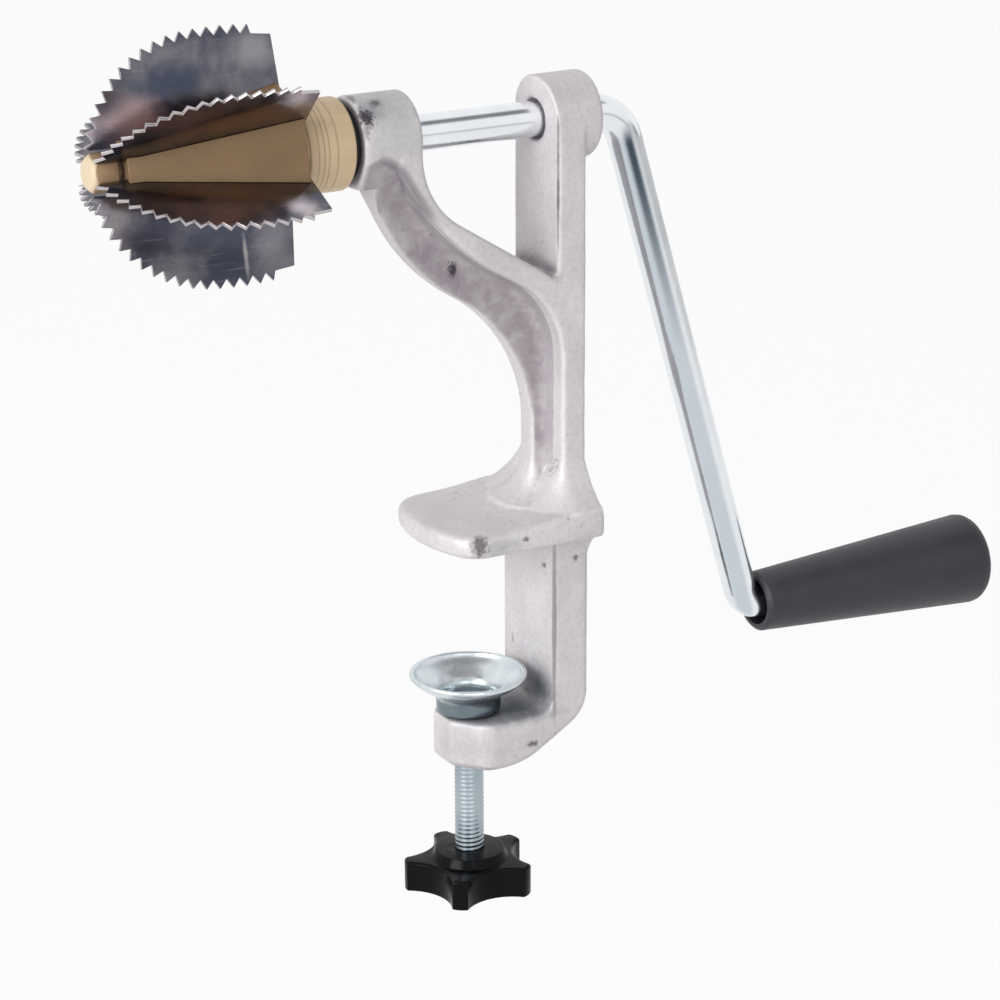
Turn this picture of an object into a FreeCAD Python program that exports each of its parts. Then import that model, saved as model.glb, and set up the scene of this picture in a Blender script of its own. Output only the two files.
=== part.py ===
import FreeCAD, Part
import math
import os

# Hand crank coconut grater, clamped to a table edge.
# Millimetres. Z up. Origin: underside of the clamp jaw on the clamp screw's axis.
# X runs along the crank shaft: the serrated head is at -X, the crank at +X.

V = FreeCAD.Vector

# ---------------------------------------------------------------- casting
POST_X1 = 29.8           # back face of the post and of the bar below the jaw
POST_T = 8.74            # post's thickness beside the window
POST_X0 = POST_X1 - POST_T
POST_HALF = 11.5
PARTING_RISE = 1.0       # draft ridge along the parting line
SHAFT_Z = 109.0          # shaft axis above the jaw's underside
REAR_BOSS_R = 11.45
REAR_BOSS_PROUD = 5.2
REAR_BOSS_X1 = POST_X1 + REAR_BOSS_PROUD
FRONT_BOSS_R = 11.7
FRONT_BOSS_X1 = -17.5
FRONT_BOSS_LENGTH = 16.7
FRONT_BOSS_X0 = FRONT_BOSS_X1 - FRONT_BOSS_LENGTH
FLANGE_T = 7.3           # flange's thickness below the window
FLANGE_INNER_X = POST_X1 - FLANGE_T
FLANGE_BEND_R = 25.5     # inner bend of the flange, ending upright at FLANGE_BEND_Z
FLANGE_BEND_Z = 47.0
FLANGE_BEND_TURN = 62.2
FLANGE_SWEEP_R = 80.0    # long opposite bend up to the front boss
FLANGE_SWEEP_START = 28.0
WINDOW_FLOOR_Z = 68.9    # lowest corner of the window, at the post
WINDOW_SLOPE = 32.3
WINDOW_ARC_R = 22.0      # window's rounding up to the front boss
WINDOW_CORNER_R = 1.0
WEB_HALF = 3.6
WEB_FOOT_REACH = 4.6     # web's width above the jaw
WEB_FOOT_X = FLANGE_INNER_X - WEB_FOOT_REACH
WEB_LOW_R = 44.0         # outer edge: bulging bend, then hollow bend up to the boss
WEB_LOW_Z = 27.0
WEB_TURN = 59.5
WEB_HIGH_R = 55.8
WEB_HIGH_START = 8.0
WEB_SINK = 2.5           # how far the web runs into the flange
JAW_X0 = -15.2
JAW_X1 = POST_X1 + 0.5
JAW_HALF = 20.9
JAW_T0 = 5.6             # thickness at the open end
JAW_T1 = 7.9             # thickness under the post
JAW_BOW_R = 42.0
JAW_CORNER_R = 8.5
JAW_BACK_R = 1.5
JAW_TOP_EDGE_R = 2.2
JAW_UNDER_EDGE = 0.9     # bevels stand for the casting's smaller rounded edges
JAW_RAMP_X0 = 7.0        # the top rises more steeply between these two
JAW_RAMP_X1 = 16.0
JAW_RAMP_RISE = 1.1      # rise from the open end to the foot of the ramp
FOOT_REACH = 9.2         # flare of the post into the jaw, sideways
FOOT_RISE = 10.4
FOOT_SAG = 0.07          # hollow of the flare, as a share of its slant
FOOT_CORNER_R = 1.2
TOE_REACH = 9.0          # flare of the web into the jaw
TOE_RISE = 11.0
TOE_SAG = 0.16
TOE_CORNER_R = 1.8
ROOT_R = 4.0             # fillet between web and flange
ROOT_BED = 0.5           # how far that fillet runs into both
BOSS_EDGE = 0.8          # bevel of the bosses' rims
FLANGE_EDGE = 0.8
WEB_EDGE = 1.2
BAR_T = 11.2
BAR_X0 = POST_X1 - BAR_T
BAR_HALF = 13.65
LOW_TOP_Z = -50.0
LOW_T = 13.5             # depth of the lower arm
LOW_BOTTOM_Z = LOW_TOP_Z - LOW_T
LOW_INNER_R = 4.0
LOW_END_X = -8.4         # the lower arm's blunt end, in front of the screw
LOW_END_HALF = 4.5
LOW_END_CORNER_R = 2.5
LOW_FLANK_X = -1.5       # the flanks reach full width here
LOW_FLANK_CORNER_R = 6.0
LOW_EDGE = 1.5
LOW_INNER_EDGE_R = 1.0
LOW_CURVE_R = 11.0       # bend from the bar's back into the sloping underside
LOW_CURVE_Z = -45.5
LOW_CURVE_TURN = 59.0
LOW_SWEEP_R = 22.0       # flatter bend from there to the level underside
HEEL_REACH = 6.5         # flare at the jaw's back corners, underneath
HEEL_RISE = 7.0

# ---------------------------------------------------------------- crank
ROD_D = 9.3              # drawn and plated rod
ROD_PLAY = 0.06          # radial running clearance of the rod in its bosses
SPIGOT_D = 6.0           # reduced front end of the rod, inside hub and nose
SPIGOT_SETBACK = 2.5     # rod's end behind the foremost tooth
ARM_SETOUT = 10.4        # from the rear boss to where the arm's centreline meets the shaft axis
CORNER_X = REAR_BOSS_X1 + ARM_SETOUT
ARM_SLOPE = 16.4         # arm's lean away from vertical, degrees
THROW = 145.2            # shaft axis to grip axis
TOP_BEND_R = 11.0
LOW_BEND_R = 7.0
GRIP_Z = SHAFT_Z - THROW
LOW_CORNER_X = CORNER_X + THROW * math.tan(math.radians(ARM_SLOPE))

# ---------------------------------------------------------------- grip
GRIP_SETOUT = 3.5        # grip's near end beyond the arm's lower corner
GRIP_LENGTH = 71.3
GRIP_X0 = LOW_CORNER_X + GRIP_SETOUT
GRIP_X1 = GRIP_X0 + GRIP_LENGTH
GRIP_R0 = 8.4
GRIP_R1 = 12.9
GRIP_PLAY = 0.07
GRIP_MOUTH_R = 6.5
GRIP_MOUTH_DEPTH = 9.0
GRIP_POCKET_R = 8.2
GRIP_POCKET_DEPTH = 11.6
GRIP_POCKET_X = GRIP_X1 - GRIP_POCKET_DEPTH
SPINDLE_SETBACK = 7.9    # rod's end inside the grip's far end
CAP_T = 3.1
CAP_EDGE_R = 2.9
CAP_SPIGOT = 3.4
PUSH_NUT_R = 7.4
PUSH_NUT_T = 1.2

# ---------------------------------------------------------------- clamp
SCREW_D = 8.0
SCREW_PLAY = 0.05
SCREW_NECK_D = 5.8
SCREW_END_Z = -100.4
DISH_SEAT = 0.35         # cup's base above the lower arm, at its lowest
DISH_BASE_Z = LOW_TOP_Z + DISH_SEAT
DISH_H = 10.55
DISH_RIM_Z = DISH_BASE_Z + DISH_H
DISH_R = 15.84
DISH_LIP = 1.3           # flat width of the rim
DISH_T = 0.9
DISH_NECK_R = 8.7
DISH_NECK_H = 3.65       # height of the straight neck below the flare
DISH_FLARE = ((0.0, 0.0), (0.12, 0.23), (0.36, 0.43), (0.67, 0.65), (0.87, 0.85))
KNOB_FLOOR = 0.6         # knob's underside below the screw's end
KNOB_BOTTOM_Z = SCREW_END_Z - KNOB_FLOOR
KNOB_LOBE_H = 8.4
KNOB_LOBE_Z = KNOB_BOTTOM_Z + KNOB_LOBE_H
KNOB_HUB_RISE = 2.4
KNOB_TOP_Z = KNOB_LOBE_Z + KNOB_HUB_RISE
KNOB_HUB_R = 9.7
KNOB_TIP_R = 17.9
KNOB_TIP_BOW = 0.3
KNOB_WAIST_R = 12.1
KNOB_LOBE_HALF_ANGLE = 7.0
KNOB_EDGE = 0.6
KNOB_TURN = -55.7
KNOB_LOBES = 5
KNOB_NUT_AF = 13.0
KNOB_NUT_T = 4.0

# ---------------------------------------------------------------- grating head
BLADES = 6
BLADE_ANGLE0 = 40.5      # first blade, measured from -Y towards +Z
BLADE_T = 1.0
SLOT_PLAY = 0.02
HUB_PLAY = 0.02          # hub, collar and washer on the rod
WASHER_R = 9.4
WASHER_T = 2.05
WASHER_PLAY = 0.05
COLLAR_R = 11.8
COLLAR_LENGTH = 14.9
COLLAR_X1 = FRONT_BOSS_X0 - WASHER_PLAY - WASHER_T
COLLAR_EDGE = 0.5
COLLAR_GROOVE_SETOUT = 1.7
COLLAR_GROOVE = 0.5      # depth and half width of the groove
HUB_X1 = COLLAR_X1 - COLLAR_LENGTH
HUB_SETBACK = 8.3        # hub's front behind the foremost tooth
HUB_STRAIGHT = 3.9       # straight length of the hub before its taper
HUB_R0 = 7.5
HUB_R1 = 17.0
SPIGOT_SETOUT = 8.8
SPIGOT_X = HUB_X1 - SPIGOT_SETOUT      # shoulder between rod and spigot
SLOT_R0 = 4.5            # slot floor at the hub's front
SLOT_R1 = 11.2           # slot floor at the hub's back
SHOULDER_LENGTH = 6.2    # plain shoulder behind the teeth
SHOULDER_R0 = 28.6
SHOULDER_R1 = 29.2
TOOTH_TIPS = 17
TOOTH_PITCH = 3.64
TOOTH_DEPTH = 2.4
FIRST_TIP_X = HUB_X1 - SHOULDER_LENGTH
CROWN_SETOUT = 8.6
CROWN_X = FIRST_TIP_X - CROWN_SETOUT
CROWN_R = 32.0           # greatest tip radius
BACK_ARC_R = 100.0
FRONT_ARC_R = 33.0
ARC_JOIN_SETOUT = 8.0
ARC_JOIN_X = CROWN_X - ARC_JOIN_SETOUT
NOSE_SETBACK = 0.1       # nose's front behind the foremost tooth
NOSE_CAP_LENGTH = 6.6
NOSE_CAP_R = 4.95
NOSE_NECK_R = 4.1
NOSE_BLADE_GAP = 0.55    # blades' inner corners outside the nose cap

ARM = V(math.sin(math.radians(ARM_SLOPE)), 0, -math.cos(math.radians(ARM_SLOPE)))


def pt(x, z, y=0.0):
    return V(x, y, z)


def line(a, b):
    return Part.makeLine(a, b)


def arc_xz(cx, cz, r, a0, a1, y=0.0):
    """Arc in the XZ plane through its half angle, degrees from +X towards +Z."""
    pts = []
    for a in (a0, (a0 + a1) / 2.0, a1):
        t = math.radians(a)
        pts.append(V(cx + r * math.cos(t), y, cz + r * math.sin(t)))
    return Part.Arc(pts[0], pts[1], pts[2]).toShape()


def arc_xy(cx, cy, r, a0, a1, z=0.0):
    pts = []
    for a in (a0, (a0 + a1) / 2.0, a1):
        t = math.radians(a)
        pts.append(V(cx + r * math.cos(t), cy + r * math.sin(t), z))
    return Part.Arc(pts[0], pts[1], pts[2]).toShape()


def chain(pts):
    return [line(a, b) for a, b in zip(pts[:-1], pts[1:])]


def slab(edges, half):
    """Solid from a closed outline in the XZ plane, centred on Y = 0."""
    face = Part.Face(Part.Wire(Part.__sortEdges__(edges)))
    solid = face.extrude(V(0, 2 * half, 0))
    solid.translate(V(0, -half, 0))
    return solid


def cyl_x(r, x0, x1, z=SHAFT_Z):
    return Part.makeCylinder(r, x1 - x0, V(x0, 0, z), V(1, 0, 0))


def cyl_z(r, z0, z1):
    return Part.makeCylinder(r, z1 - z0, V(0, 0, z0), V(0, 0, 1))


def cone_x(r0, r1, x0, x1, z=SHAFT_Z):
    return Part.makeCone(r0, r1, x1 - x0, V(x0, 0, z), V(1, 0, 0))


def edges_where(shape, test):
    return [e for e in shape.Edges if test(e)]


def mid_of(edge):
    return edge.valueAt((edge.FirstParameter + edge.LastParameter) / 2.0)


def jaw_plate():
    """Clamp jaw: a plate with a bowed free end and a top that rises to the post."""
    bow = JAW_BOW_R
    corner = JAW_CORNER_R
    side = JAW_HALF
    bow_cx = JAW_X0 + bow
    reach = math.sqrt((bow - corner) ** 2 - (side - corner) ** 2)
    cx = bow_cx - reach
    a = math.degrees(math.atan2(side - corner, -reach))
    back = JAW_BACK_R
    x1 = JAW_X1
    edges = [
        arc_xy(bow_cx, 0, bow, a, 360 - a),
        arc_xy(cx, side - corner, corner, a, 90),
        arc_xy(cx, corner - side, corner, -a, -90),
        line(V(cx, side, 0), V(x1 - back, side, 0)),
        line(V(cx, -side, 0), V(x1 - back, -side, 0)),
        arc_xy(x1 - back, side - back, back, 0, 90),
        arc_xy(x1 - back, back - side, back, 0, -90),
        line(V(x1, side - back, 0), V(x1, back - side, 0)),
    ]
    face = Part.Face(Part.Wire(Part.__sortEdges__(edges)))
    plate = face.extrude(V(0, 0, 2 * JAW_T1))
    profile = chain([pt(JAW_X0 - 1, 0), pt(x1 + 1, 0), pt(x1 + 1, JAW_T1), pt(JAW_RAMP_X1, JAW_T1),
                     pt(JAW_RAMP_X0, JAW_T0 + JAW_RAMP_RISE),
                     pt(JAW_X0 - 1, JAW_T0), pt(JAW_X0 - 1, 0)])
    plate = plate.common(slab(profile, side + 2))
    rim = edges_where(plate, lambda e: abs(mid_of(e).z) < 0.01 and mid_of(e).x < x1 - 0.1)
    plate = plate.makeChamfer(JAW_UNDER_EDGE, rim)
    rim = edges_where(plate, lambda e: mid_of(e).z > JAW_T0 - 0.3 and mid_of(e).x < x1 - 0.1
                      and abs(e.BoundBox.ZLength) < 3)
    plate = plate.makeFillet(JAW_TOP_EDGE_R, rim)
    return plate


def flange_bends():
    """Centres of the flange's two bends: the upright one at the foot, the long one above."""
    bx = FLANGE_INNER_X - FLANGE_BEND_R
    t = math.radians(FLANGE_BEND_TURN)
    span = FLANGE_SWEEP_R + FLANGE_BEND_R
    return bx, bx + span * math.cos(t), FLANGE_BEND_Z + span * math.sin(t)


def flange():
    """Post and upper flange of the S-arm, one strip of even width round the window."""
    bx, ax, az = flange_bends()
    s = math.radians(FLANGE_SWEEP_START)
    p0 = pt(ax - FLANGE_SWEEP_R * math.cos(s), az - FLANGE_SWEEP_R * math.sin(s))
    slope = math.radians(WINDOW_SLOPE)
    nx, nz = math.sin(slope), math.cos(slope)
    er = WINDOW_ARC_R
    ex = FRONT_BOSS_X1 + er
    ez = WINDOW_FLOOR_Z + (er - (ex - POST_X0) * nx) / nz
    r = WINDOW_CORNER_R
    d = r / math.tan(math.radians((90 - WINDOW_SLOPE) / 2.0))
    corner_z = WINDOW_FLOOR_Z + d
    corner_left = pt(POST_X0 - d * nz, WINDOW_FLOOR_Z + d * nx)
    low = JAW_T1 - 2.0
    edges = [
        arc_xz(ax, az, FLANGE_SWEEP_R, 180 + FLANGE_SWEEP_START, 180 + FLANGE_BEND_TURN),
        arc_xz(bx, FLANGE_BEND_Z, FLANGE_BEND_R, FLANGE_BEND_TURN, 0),
        line(pt(FLANGE_INNER_X, FLANGE_BEND_Z), pt(FLANGE_INNER_X, low)),
        line(pt(FLANGE_INNER_X, low), pt(POST_X1, low)),
        line(pt(POST_X1, low), pt(POST_X1, SHAFT_Z)),
        line(pt(POST_X1, SHAFT_Z), pt(POST_X0, SHAFT_Z)),
        line(pt(POST_X0, SHAFT_Z), pt(POST_X0, corner_z)),
        arc_xz(POST_X0 - r, corner_z, r, 0, -(90 + WINDOW_SLOPE)),
        line(corner_left, pt(ex - er * nx, ez - er * nz)),
        arc_xz(ex, ez, er, 270 - WINDOW_SLOPE, 180),
        line(pt(ex - er, ez), pt(ex - er, SHAFT_Z)),
        line(pt(ex - er, SHAFT_Z), pt(p0.x, SHAFT_Z)),
        line(pt(p0.x, SHAFT_Z), p0),
    ]
    return slab(edges, POST_HALF)


def web():
    """Thin web under the flange, with an S-shaped outer edge that lands on the jaw."""
    bx, ax, az = flange_bends()
    lx = WEB_FOOT_X - WEB_LOW_R
    t = math.radians(WEB_TURN)
    span = WEB_LOW_R + WEB_HIGH_R
    ux, uz = lx + span * math.cos(t), WEB_LOW_Z + span * math.sin(t)
    s = math.radians(WEB_HIGH_START)
    p0 = pt(ux - WEB_HIGH_R * math.cos(s), uz - WEB_HIGH_R * math.sin(s))
    inner = FLANGE_INNER_X + WEB_SINK
    sweep = FLANGE_SWEEP_R - WEB_SINK
    f = math.radians(FLANGE_SWEEP_START)
    p1 = pt(ax - sweep * math.cos(f), az - sweep * math.sin(f))
    low = JAW_T1 - 2.0
    edges = [
        arc_xz(ux, uz, WEB_HIGH_R, 180 + WEB_HIGH_START, 180 + WEB_TURN),
        arc_xz(lx, WEB_LOW_Z, WEB_LOW_R, WEB_TURN, 0),
        line(pt(WEB_FOOT_X, WEB_LOW_Z), pt(WEB_FOOT_X, low)),
        line(pt(WEB_FOOT_X, low), pt(inner, low)),
        line(pt(inner, low), pt(inner, FLANGE_BEND_Z)),
        arc_xz(bx, FLANGE_BEND_Z, FLANGE_BEND_R + WEB_SINK, 0, FLANGE_BEND_TURN),
        arc_xz(ax, az, sweep, 180 + FLANGE_BEND_TURN, 180 + FLANGE_SWEEP_START),
        line(p1, pt(p1.x, SHAFT_Z)),
        line(pt(p1.x, SHAFT_Z), pt(p0.x + 2, SHAFT_Z)),
        line(pt(p0.x + 2, SHAFT_Z), p0),
    ]
    return slab(edges, WEB_HALF)


def root_section(radius, way):
    """Section of the web's root fillet: x from the bend's centre, y across the web."""
    h = WEB_HALF
    x0 = radius - way * ROOT_BED
    x1 = radius + way * ROOT_R
    near = ROOT_R * (1 - math.sqrt(0.5))
    arc = Part.Arc(V(x1, h, 0), V(radius + way * near, h + near, 0), V(radius, h + ROOT_R, 0))
    pts = [V(radius, h + ROOT_R, 0), V(x0, h + ROOT_R, 0), V(x0, h - ROOT_BED, 0),
           V(x1, h - ROOT_BED, 0), V(x1, h, 0)]
    return Part.Face(Part.Wire([arc.toShape()] + chain(pts)))


def web_roots():
    """Fillets between web and flange, round both bends and down the upright below them."""
    bx, ax, az = flange_bends()
    origin = V(0, 0, 0)
    axis = V(0, -1, 0)
    sweep = root_section(FLANGE_SWEEP_R, 1)
    sweep.rotate(origin, axis, 180 + FLANGE_SWEEP_START)
    sweep = sweep.revolve(origin, axis, FLANGE_BEND_TURN - FLANGE_SWEEP_START)
    sweep.translate(pt(ax, az))
    bend = root_section(FLANGE_BEND_R, -1).revolve(origin, axis, FLANGE_BEND_TURN)
    bend.translate(pt(bx, FLANGE_BEND_Z))
    upright = root_section(FLANGE_INNER_X, -1)
    upright.translate(V(0, 0, JAW_T1 - 1))
    upright = upright.extrude(V(0, 0, FLANGE_BEND_Z - JAW_T1 + 1))
    parts = [sweep, bend, upright]
    return parts + [part.mirror(origin, axis) for part in parts]


def parting_ridge(x0, half, z0, z1):
    """Shallow ridge left by the mould halves on a front face."""
    edges = chain([V(x0 + 1, -half, z0), V(x0, -half, z0), V(x0 - PARTING_RISE, 0, z0),
                   V(x0, half, z0), V(x0 + 1, half, z0), V(x0 + 1, -half, z0)])
    return Part.Face(Part.Wire(edges)).extrude(V(0, 0, z1 - z0))


def rounded(points, radii):
    """Closed outline through points; each corner is rounded to its own radius."""
    ends = []
    edges = []
    for i, p in enumerate(points):
        if radii[i] == 0:
            ends.append((p, p))
            continue
        u = (points[i - 1] - p).normalize()
        w = (points[(i + 1) % len(points)] - p).normalize()
        half = u.getAngle(w) / 2.0
        d = radii[i] / math.tan(half)
        mid = p + (u + w).normalize() * (radii[i] / math.sin(half) - radii[i])
        ends.append((p + u * d, p + w * d))
        edges.append(Part.Arc(p + u * d, mid, p + w * d).toShape())
    for a, b in zip(ends, ends[1:] + ends[:1]):
        edges.append(line(a[1], b[0]))
    return edges


def low_plan():
    """Plan of the lower arm: two flanks close in from its full width to a blunt end."""
    z = LOW_BOTTOM_Z - 1
    half = BAR_HALF
    back = POST_X1 + 1
    points = [V(back, half, z), V(LOW_FLANK_X, half, z), V(LOW_END_X, LOW_END_HALF, z),
              V(LOW_END_X, -LOW_END_HALF, z), V(LOW_FLANK_X, -half, z), V(back, -half, z)]
    flank = LOW_FLANK_CORNER_R
    end = LOW_END_CORNER_R
    return Part.Face(Part.Wire(Part.__sortEdges__(rounded(points, [0, flank, end, end, flank, 0]))))


def lower_frame():
    """Bar below the jaw and the arm that carries the screw, with a sloping underside."""
    inner = LOW_INNER_R
    top = JAW_T0 / 2.0
    turn = math.radians(LOW_CURVE_TURN)
    c, s = math.cos(turn), math.sin(turn)
    cx = POST_X1 - LOW_CURVE_R
    ax, az = cx + LOW_CURVE_R * c, LOW_CURVE_Z - LOW_CURVE_R * s
    sz = LOW_BOTTOM_Z + LOW_SWEEP_R
    bz = sz - LOW_SWEEP_R * s
    bx = ax - (az - bz) * s / c
    sx = bx - LOW_SWEEP_R * c
    front = LOW_END_X - 2
    edges = [
        line(pt(POST_X1, top), pt(POST_X1, LOW_CURVE_Z)),
        arc_xz(cx, LOW_CURVE_Z, LOW_CURVE_R, 0, -LOW_CURVE_TURN),
        line(pt(ax, az), pt(bx, bz)),
        arc_xz(sx, sz, LOW_SWEEP_R, -LOW_CURVE_TURN, -90),
        line(pt(sx, LOW_BOTTOM_Z), pt(front, LOW_BOTTOM_Z)),
        line(pt(front, LOW_BOTTOM_Z), pt(front, LOW_TOP_Z)),
        line(pt(front, LOW_TOP_Z), pt(BAR_X0 - inner, LOW_TOP_Z)),
        arc_xz(BAR_X0 - inner, LOW_TOP_Z + inner, inner, -90, 0),
        line(pt(BAR_X0, LOW_TOP_Z + inner), pt(BAR_X0, top)),
        line(pt(BAR_X0, top), pt(POST_X1, top)),
    ]
    body = slab(edges, BAR_HALF)
    body = body.common(low_plan().extrude(V(0, 0, JAW_T1 + 1 - LOW_BOTTOM_Z)))

    def on_side(e):
        return abs(abs(mid_of(e).y) - BAR_HALF) < 0.01

    def round_inside(e):
        m = mid_of(e)
        level = abs(m.z - LOW_TOP_Z) < 0.01 and m.x < BAR_X0 - inner - 0.1
        bend = isinstance(e.Curve, Part.Circle) and abs(e.Curve.Radius - inner) < 0.01
        return level or bend or (on_side(e) and abs(m.x - BAR_X0) < 0.01)

    def round_outside(e):
        m = mid_of(e)
        level = m.z < LOW_BOTTOM_Z + 0.01 and (abs(m.y) > 0.5 or m.x < LOW_END_X + 0.5)
        back = on_side(e) and abs(m.x - POST_X1) < 0.01
        sloping = on_side(e) and m.z < LOW_CURVE_Z and e.BoundBox.XLength > 0.5
        return level or back or (sloping and (m.z < LOW_TOP_Z - 1 or m.x > BAR_X0 + 1))
    body = body.makeFillet(LOW_INNER_EDGE_R, edges_where(body, round_inside))
    return body.makeChamfer(LOW_EDGE, edges_where(body, round_outside))


def flare_face(reach, rise, sink, hollow):
    """Concave corner profile in the XZ plane, from (reach, 0) up to (0, rise)."""
    size = math.hypot(reach, rise)
    sag = hollow * size
    mid = V(reach / 2.0 - sag * rise / size, 0, rise / 2.0 - sag * reach / size)
    arc = Part.Arc(V(reach, 0, 0), mid, V(0, 0, rise)).toShape()
    pts = [V(0, 0, rise), V(-sink, 0, rise), V(-sink, 0, -1.5), V(reach, 0, -1.5), V(reach, 0, 0)]
    return Part.Face(Part.Wire([arc] + chain(pts)))


def flare(x0, x1, half, corner, reach, rise, hollow, z):
    """Concave flare round three sides of an upright block that stands on z."""
    parts = []
    for side in (-1, 1):
        face = flare_face(reach, rise, corner, hollow)
        face.rotate(V(0, 0, 0), V(0, 0, 1), 90.0 * side)
        face.translate(V(x0 + corner, side * half, z))
        parts.append(face.extrude(V(x1 - x0 - corner, 0, 0)))
        face = flare_face(reach, rise, corner, hollow)
        face.rotate(V(0, 0, 0), V(0, 0, 1), 180.0)
        face.translate(V(x0, side * (half - corner), z))
        axis = V(x0 + corner, side * (half - corner), z)
        parts.append(face.revolve(axis, V(0, 0, 1), -90.0 * side))
    face = flare_face(reach, rise, corner, hollow)
    face.rotate(V(0, 0, 0), V(0, 0, 1), 180.0)
    face.translate(V(x0, corner - half, z))
    parts.append(face.extrude(V(0, 2 * (half - corner), 0)))
    return parts[0].fuse(parts[1:])


def heels():
    """Flares under the jaw's back corners, fading along the sides of the bar."""
    parts = []
    for side in (-1, 1):
        arc = Part.Arc(V(HEEL_REACH, 0, 0), V(HEEL_REACH * 0.33, 0, -HEEL_RISE * 0.33),
                       V(0, 0, -HEEL_RISE)).toShape()
        pts = [V(0, 0, -HEEL_RISE), V(0, 0, 1.5), V(HEEL_REACH, 0, 1.5), V(HEEL_REACH, 0, 0)]
        face = Part.Face(Part.Wire([arc] + chain(pts)))
        face.rotate(V(0, 0, 0), V(0, 0, 1), 90.0 * side)
        face.translate(V(POST_X1, side * (BAR_HALF - 0.3), 0))
        parts.append(face.revolve(V(POST_X1, side * (BAR_HALF - 0.3), 0), V(0, 0, 1), 90.0 * side))
    return parts


def frame_casting():
    strip = flange()
    long_edges = edges_where(strip, lambda e: abs(abs(mid_of(e).y) - POST_HALF) < 1e-6
                             and JAW_T1 < mid_of(e).z < SHAFT_Z - 0.5
                             and mid_of(e).x > FRONT_BOSS_X0 + FRONT_BOSS_R / 1.2)
    strip = strip.makeChamfer(FLANGE_EDGE, long_edges)
    thin = web()
    long_edges = edges_where(thin, lambda e: abs(abs(mid_of(e).y) - WEB_HALF) < 1e-6
                             and (isinstance(e.Curve, Part.Circle)
                                  or abs(mid_of(e).x - WEB_FOOT_X) < 0.05))
    thin = thin.makeChamfer(WEB_EDGE, long_edges)
    boss = cyl_x(FRONT_BOSS_R, FRONT_BOSS_X0, FRONT_BOSS_X1)
    boss = boss.makeChamfer(BOSS_EDGE, edges_where(boss, lambda e: isinstance(e.Curve, Part.Circle)))
    arm = strip.fuse([thin, boss] + web_roots()).removeSplitter()
    foot = flare(FLANGE_INNER_X, POST_X1, POST_HALF, FOOT_CORNER_R,
                 FOOT_REACH, FOOT_RISE, FOOT_SAG, JAW_T1)
    toe = flare(WEB_FOOT_X, FLANGE_INNER_X + 2, WEB_HALF, TOE_CORNER_R,
                TOE_REACH, TOE_RISE, TOE_SAG, JAW_T1)
    rear = cyl_x(REAR_BOSS_R, POST_X0, REAR_BOSS_X1)
    rear = rear.makeChamfer(BOSS_EDGE, edges_where(rear, lambda e: mid_of(e).x > REAR_BOSS_X1 - 0.01))
    above = cyl_x(REAR_BOSS_R, POST_X0 - 3, POST_X0 + 1)
    start = WINDOW_FLOOR_Z - 3.0
    below = Part.makeBox(4, 2 * POST_HALF, SHAFT_Z - start, V(POST_X0 - 3, -POST_HALF, start))
    ridge = parting_ridge(POST_X0, POST_HALF - 0.3, start, SHAFT_Z + REAR_BOSS_R)
    ridge = ridge.common(above.fuse(below))
    bar_ridge = parting_ridge(BAR_X0, BAR_HALF - 0.3, LOW_TOP_Z + LOW_INNER_R / 2.0, 1.0)
    body = jaw_plate().fuse([arm, foot, toe, rear, ridge, lower_frame(), bar_ridge] + heels())
    body = body.removeSplitter()
    bore = ROD_D / 2.0 + ROD_PLAY
    mouth = bore + 0.6
    cuts = [
        cyl_x(bore, FRONT_BOSS_X0 - 1, REAR_BOSS_X1 + 1),
        cyl_x(mouth, POST_X0 - 4, POST_X0 + 1.2),
        cone_x(mouth, bore, FRONT_BOSS_X0 - 0.1, FRONT_BOSS_X0 + 0.6),
        cone_x(bore, mouth, FRONT_BOSS_X1 - 0.6, FRONT_BOSS_X1 + 0.1),
        cone_x(bore, mouth, REAR_BOSS_X1 - 0.6, REAR_BOSS_X1 + 0.1),
        cyl_z(SCREW_D / 2.0 + SCREW_PLAY, LOW_BOTTOM_Z - 1, LOW_TOP_Z + 1),
    ]
    return body.cut(cuts[0].fuse(cuts[1:]))


def crank_rod():
    """One round rod bent twice in the XZ plane; the front end is reduced for the hub."""
    r = ROD_D / 2.0
    turn = 90.0 - ARM_SLOPE
    tan_top = TOP_BEND_R * math.tan(math.radians(turn / 2))
    tan_low = LOW_BEND_R * math.tan(math.radians(turn / 2))
    top = V(CORNER_X, 0, SHAFT_Z)
    low = V(LOW_CORNER_X, 0, GRIP_Z)
    a = top - V(tan_top, 0, 0)
    b = top + ARM * tan_top
    c = low - ARM * tan_low
    d = low + V(tan_low, 0, 0)
    shaft = cyl_x(r, SPIGOT_X, a.x)
    arm = Part.makeCylinder(r, (c - b).Length, b, ARM)
    spindle = cyl_x(r, d.x, GRIP_X1 - SPINDLE_SETBACK, GRIP_Z)
    disc = Part.Face(Part.Wire(Part.makeCircle(r, a, V(1, 0, 0))))
    bend_top = disc.revolve(a - V(0, 0, TOP_BEND_R), V(0, 1, 0), turn)
    disc = Part.Face(Part.Wire(Part.makeCircle(r, d, V(1, 0, 0))))
    bend_low = disc.revolve(d + V(0, 0, LOW_BEND_R), V(0, 1, 0), turn)
    end = HEAD_FRONT_X + SPIGOT_SETBACK
    spigot = cyl_x(SPIGOT_D / 2.0, end + 0.6, SPIGOT_X)
    tip = cone_x(SPIGOT_D / 2.0 - 0.6, SPIGOT_D / 2.0, end, end + 0.6)
    return shaft.fuse([arm, spindle, bend_top, bend_low, spigot, tip]).removeSplitter()


def head_dir(angle):
    """Unit vector from the shaft axis at an angle from -Y towards +Z."""
    t = math.radians(angle)
    return V(0, -math.cos(t), math.sin(t))


def turned(shape, angle):
    """Moves a shape drawn above the X axis in the XZ plane to its angle on the shaft."""
    shape.rotate(V(0, 0, 0), V(1, 0, 0), 90.0 - angle)
    shape.translate(V(0, 0, SHAFT_Z))
    return shape


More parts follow.
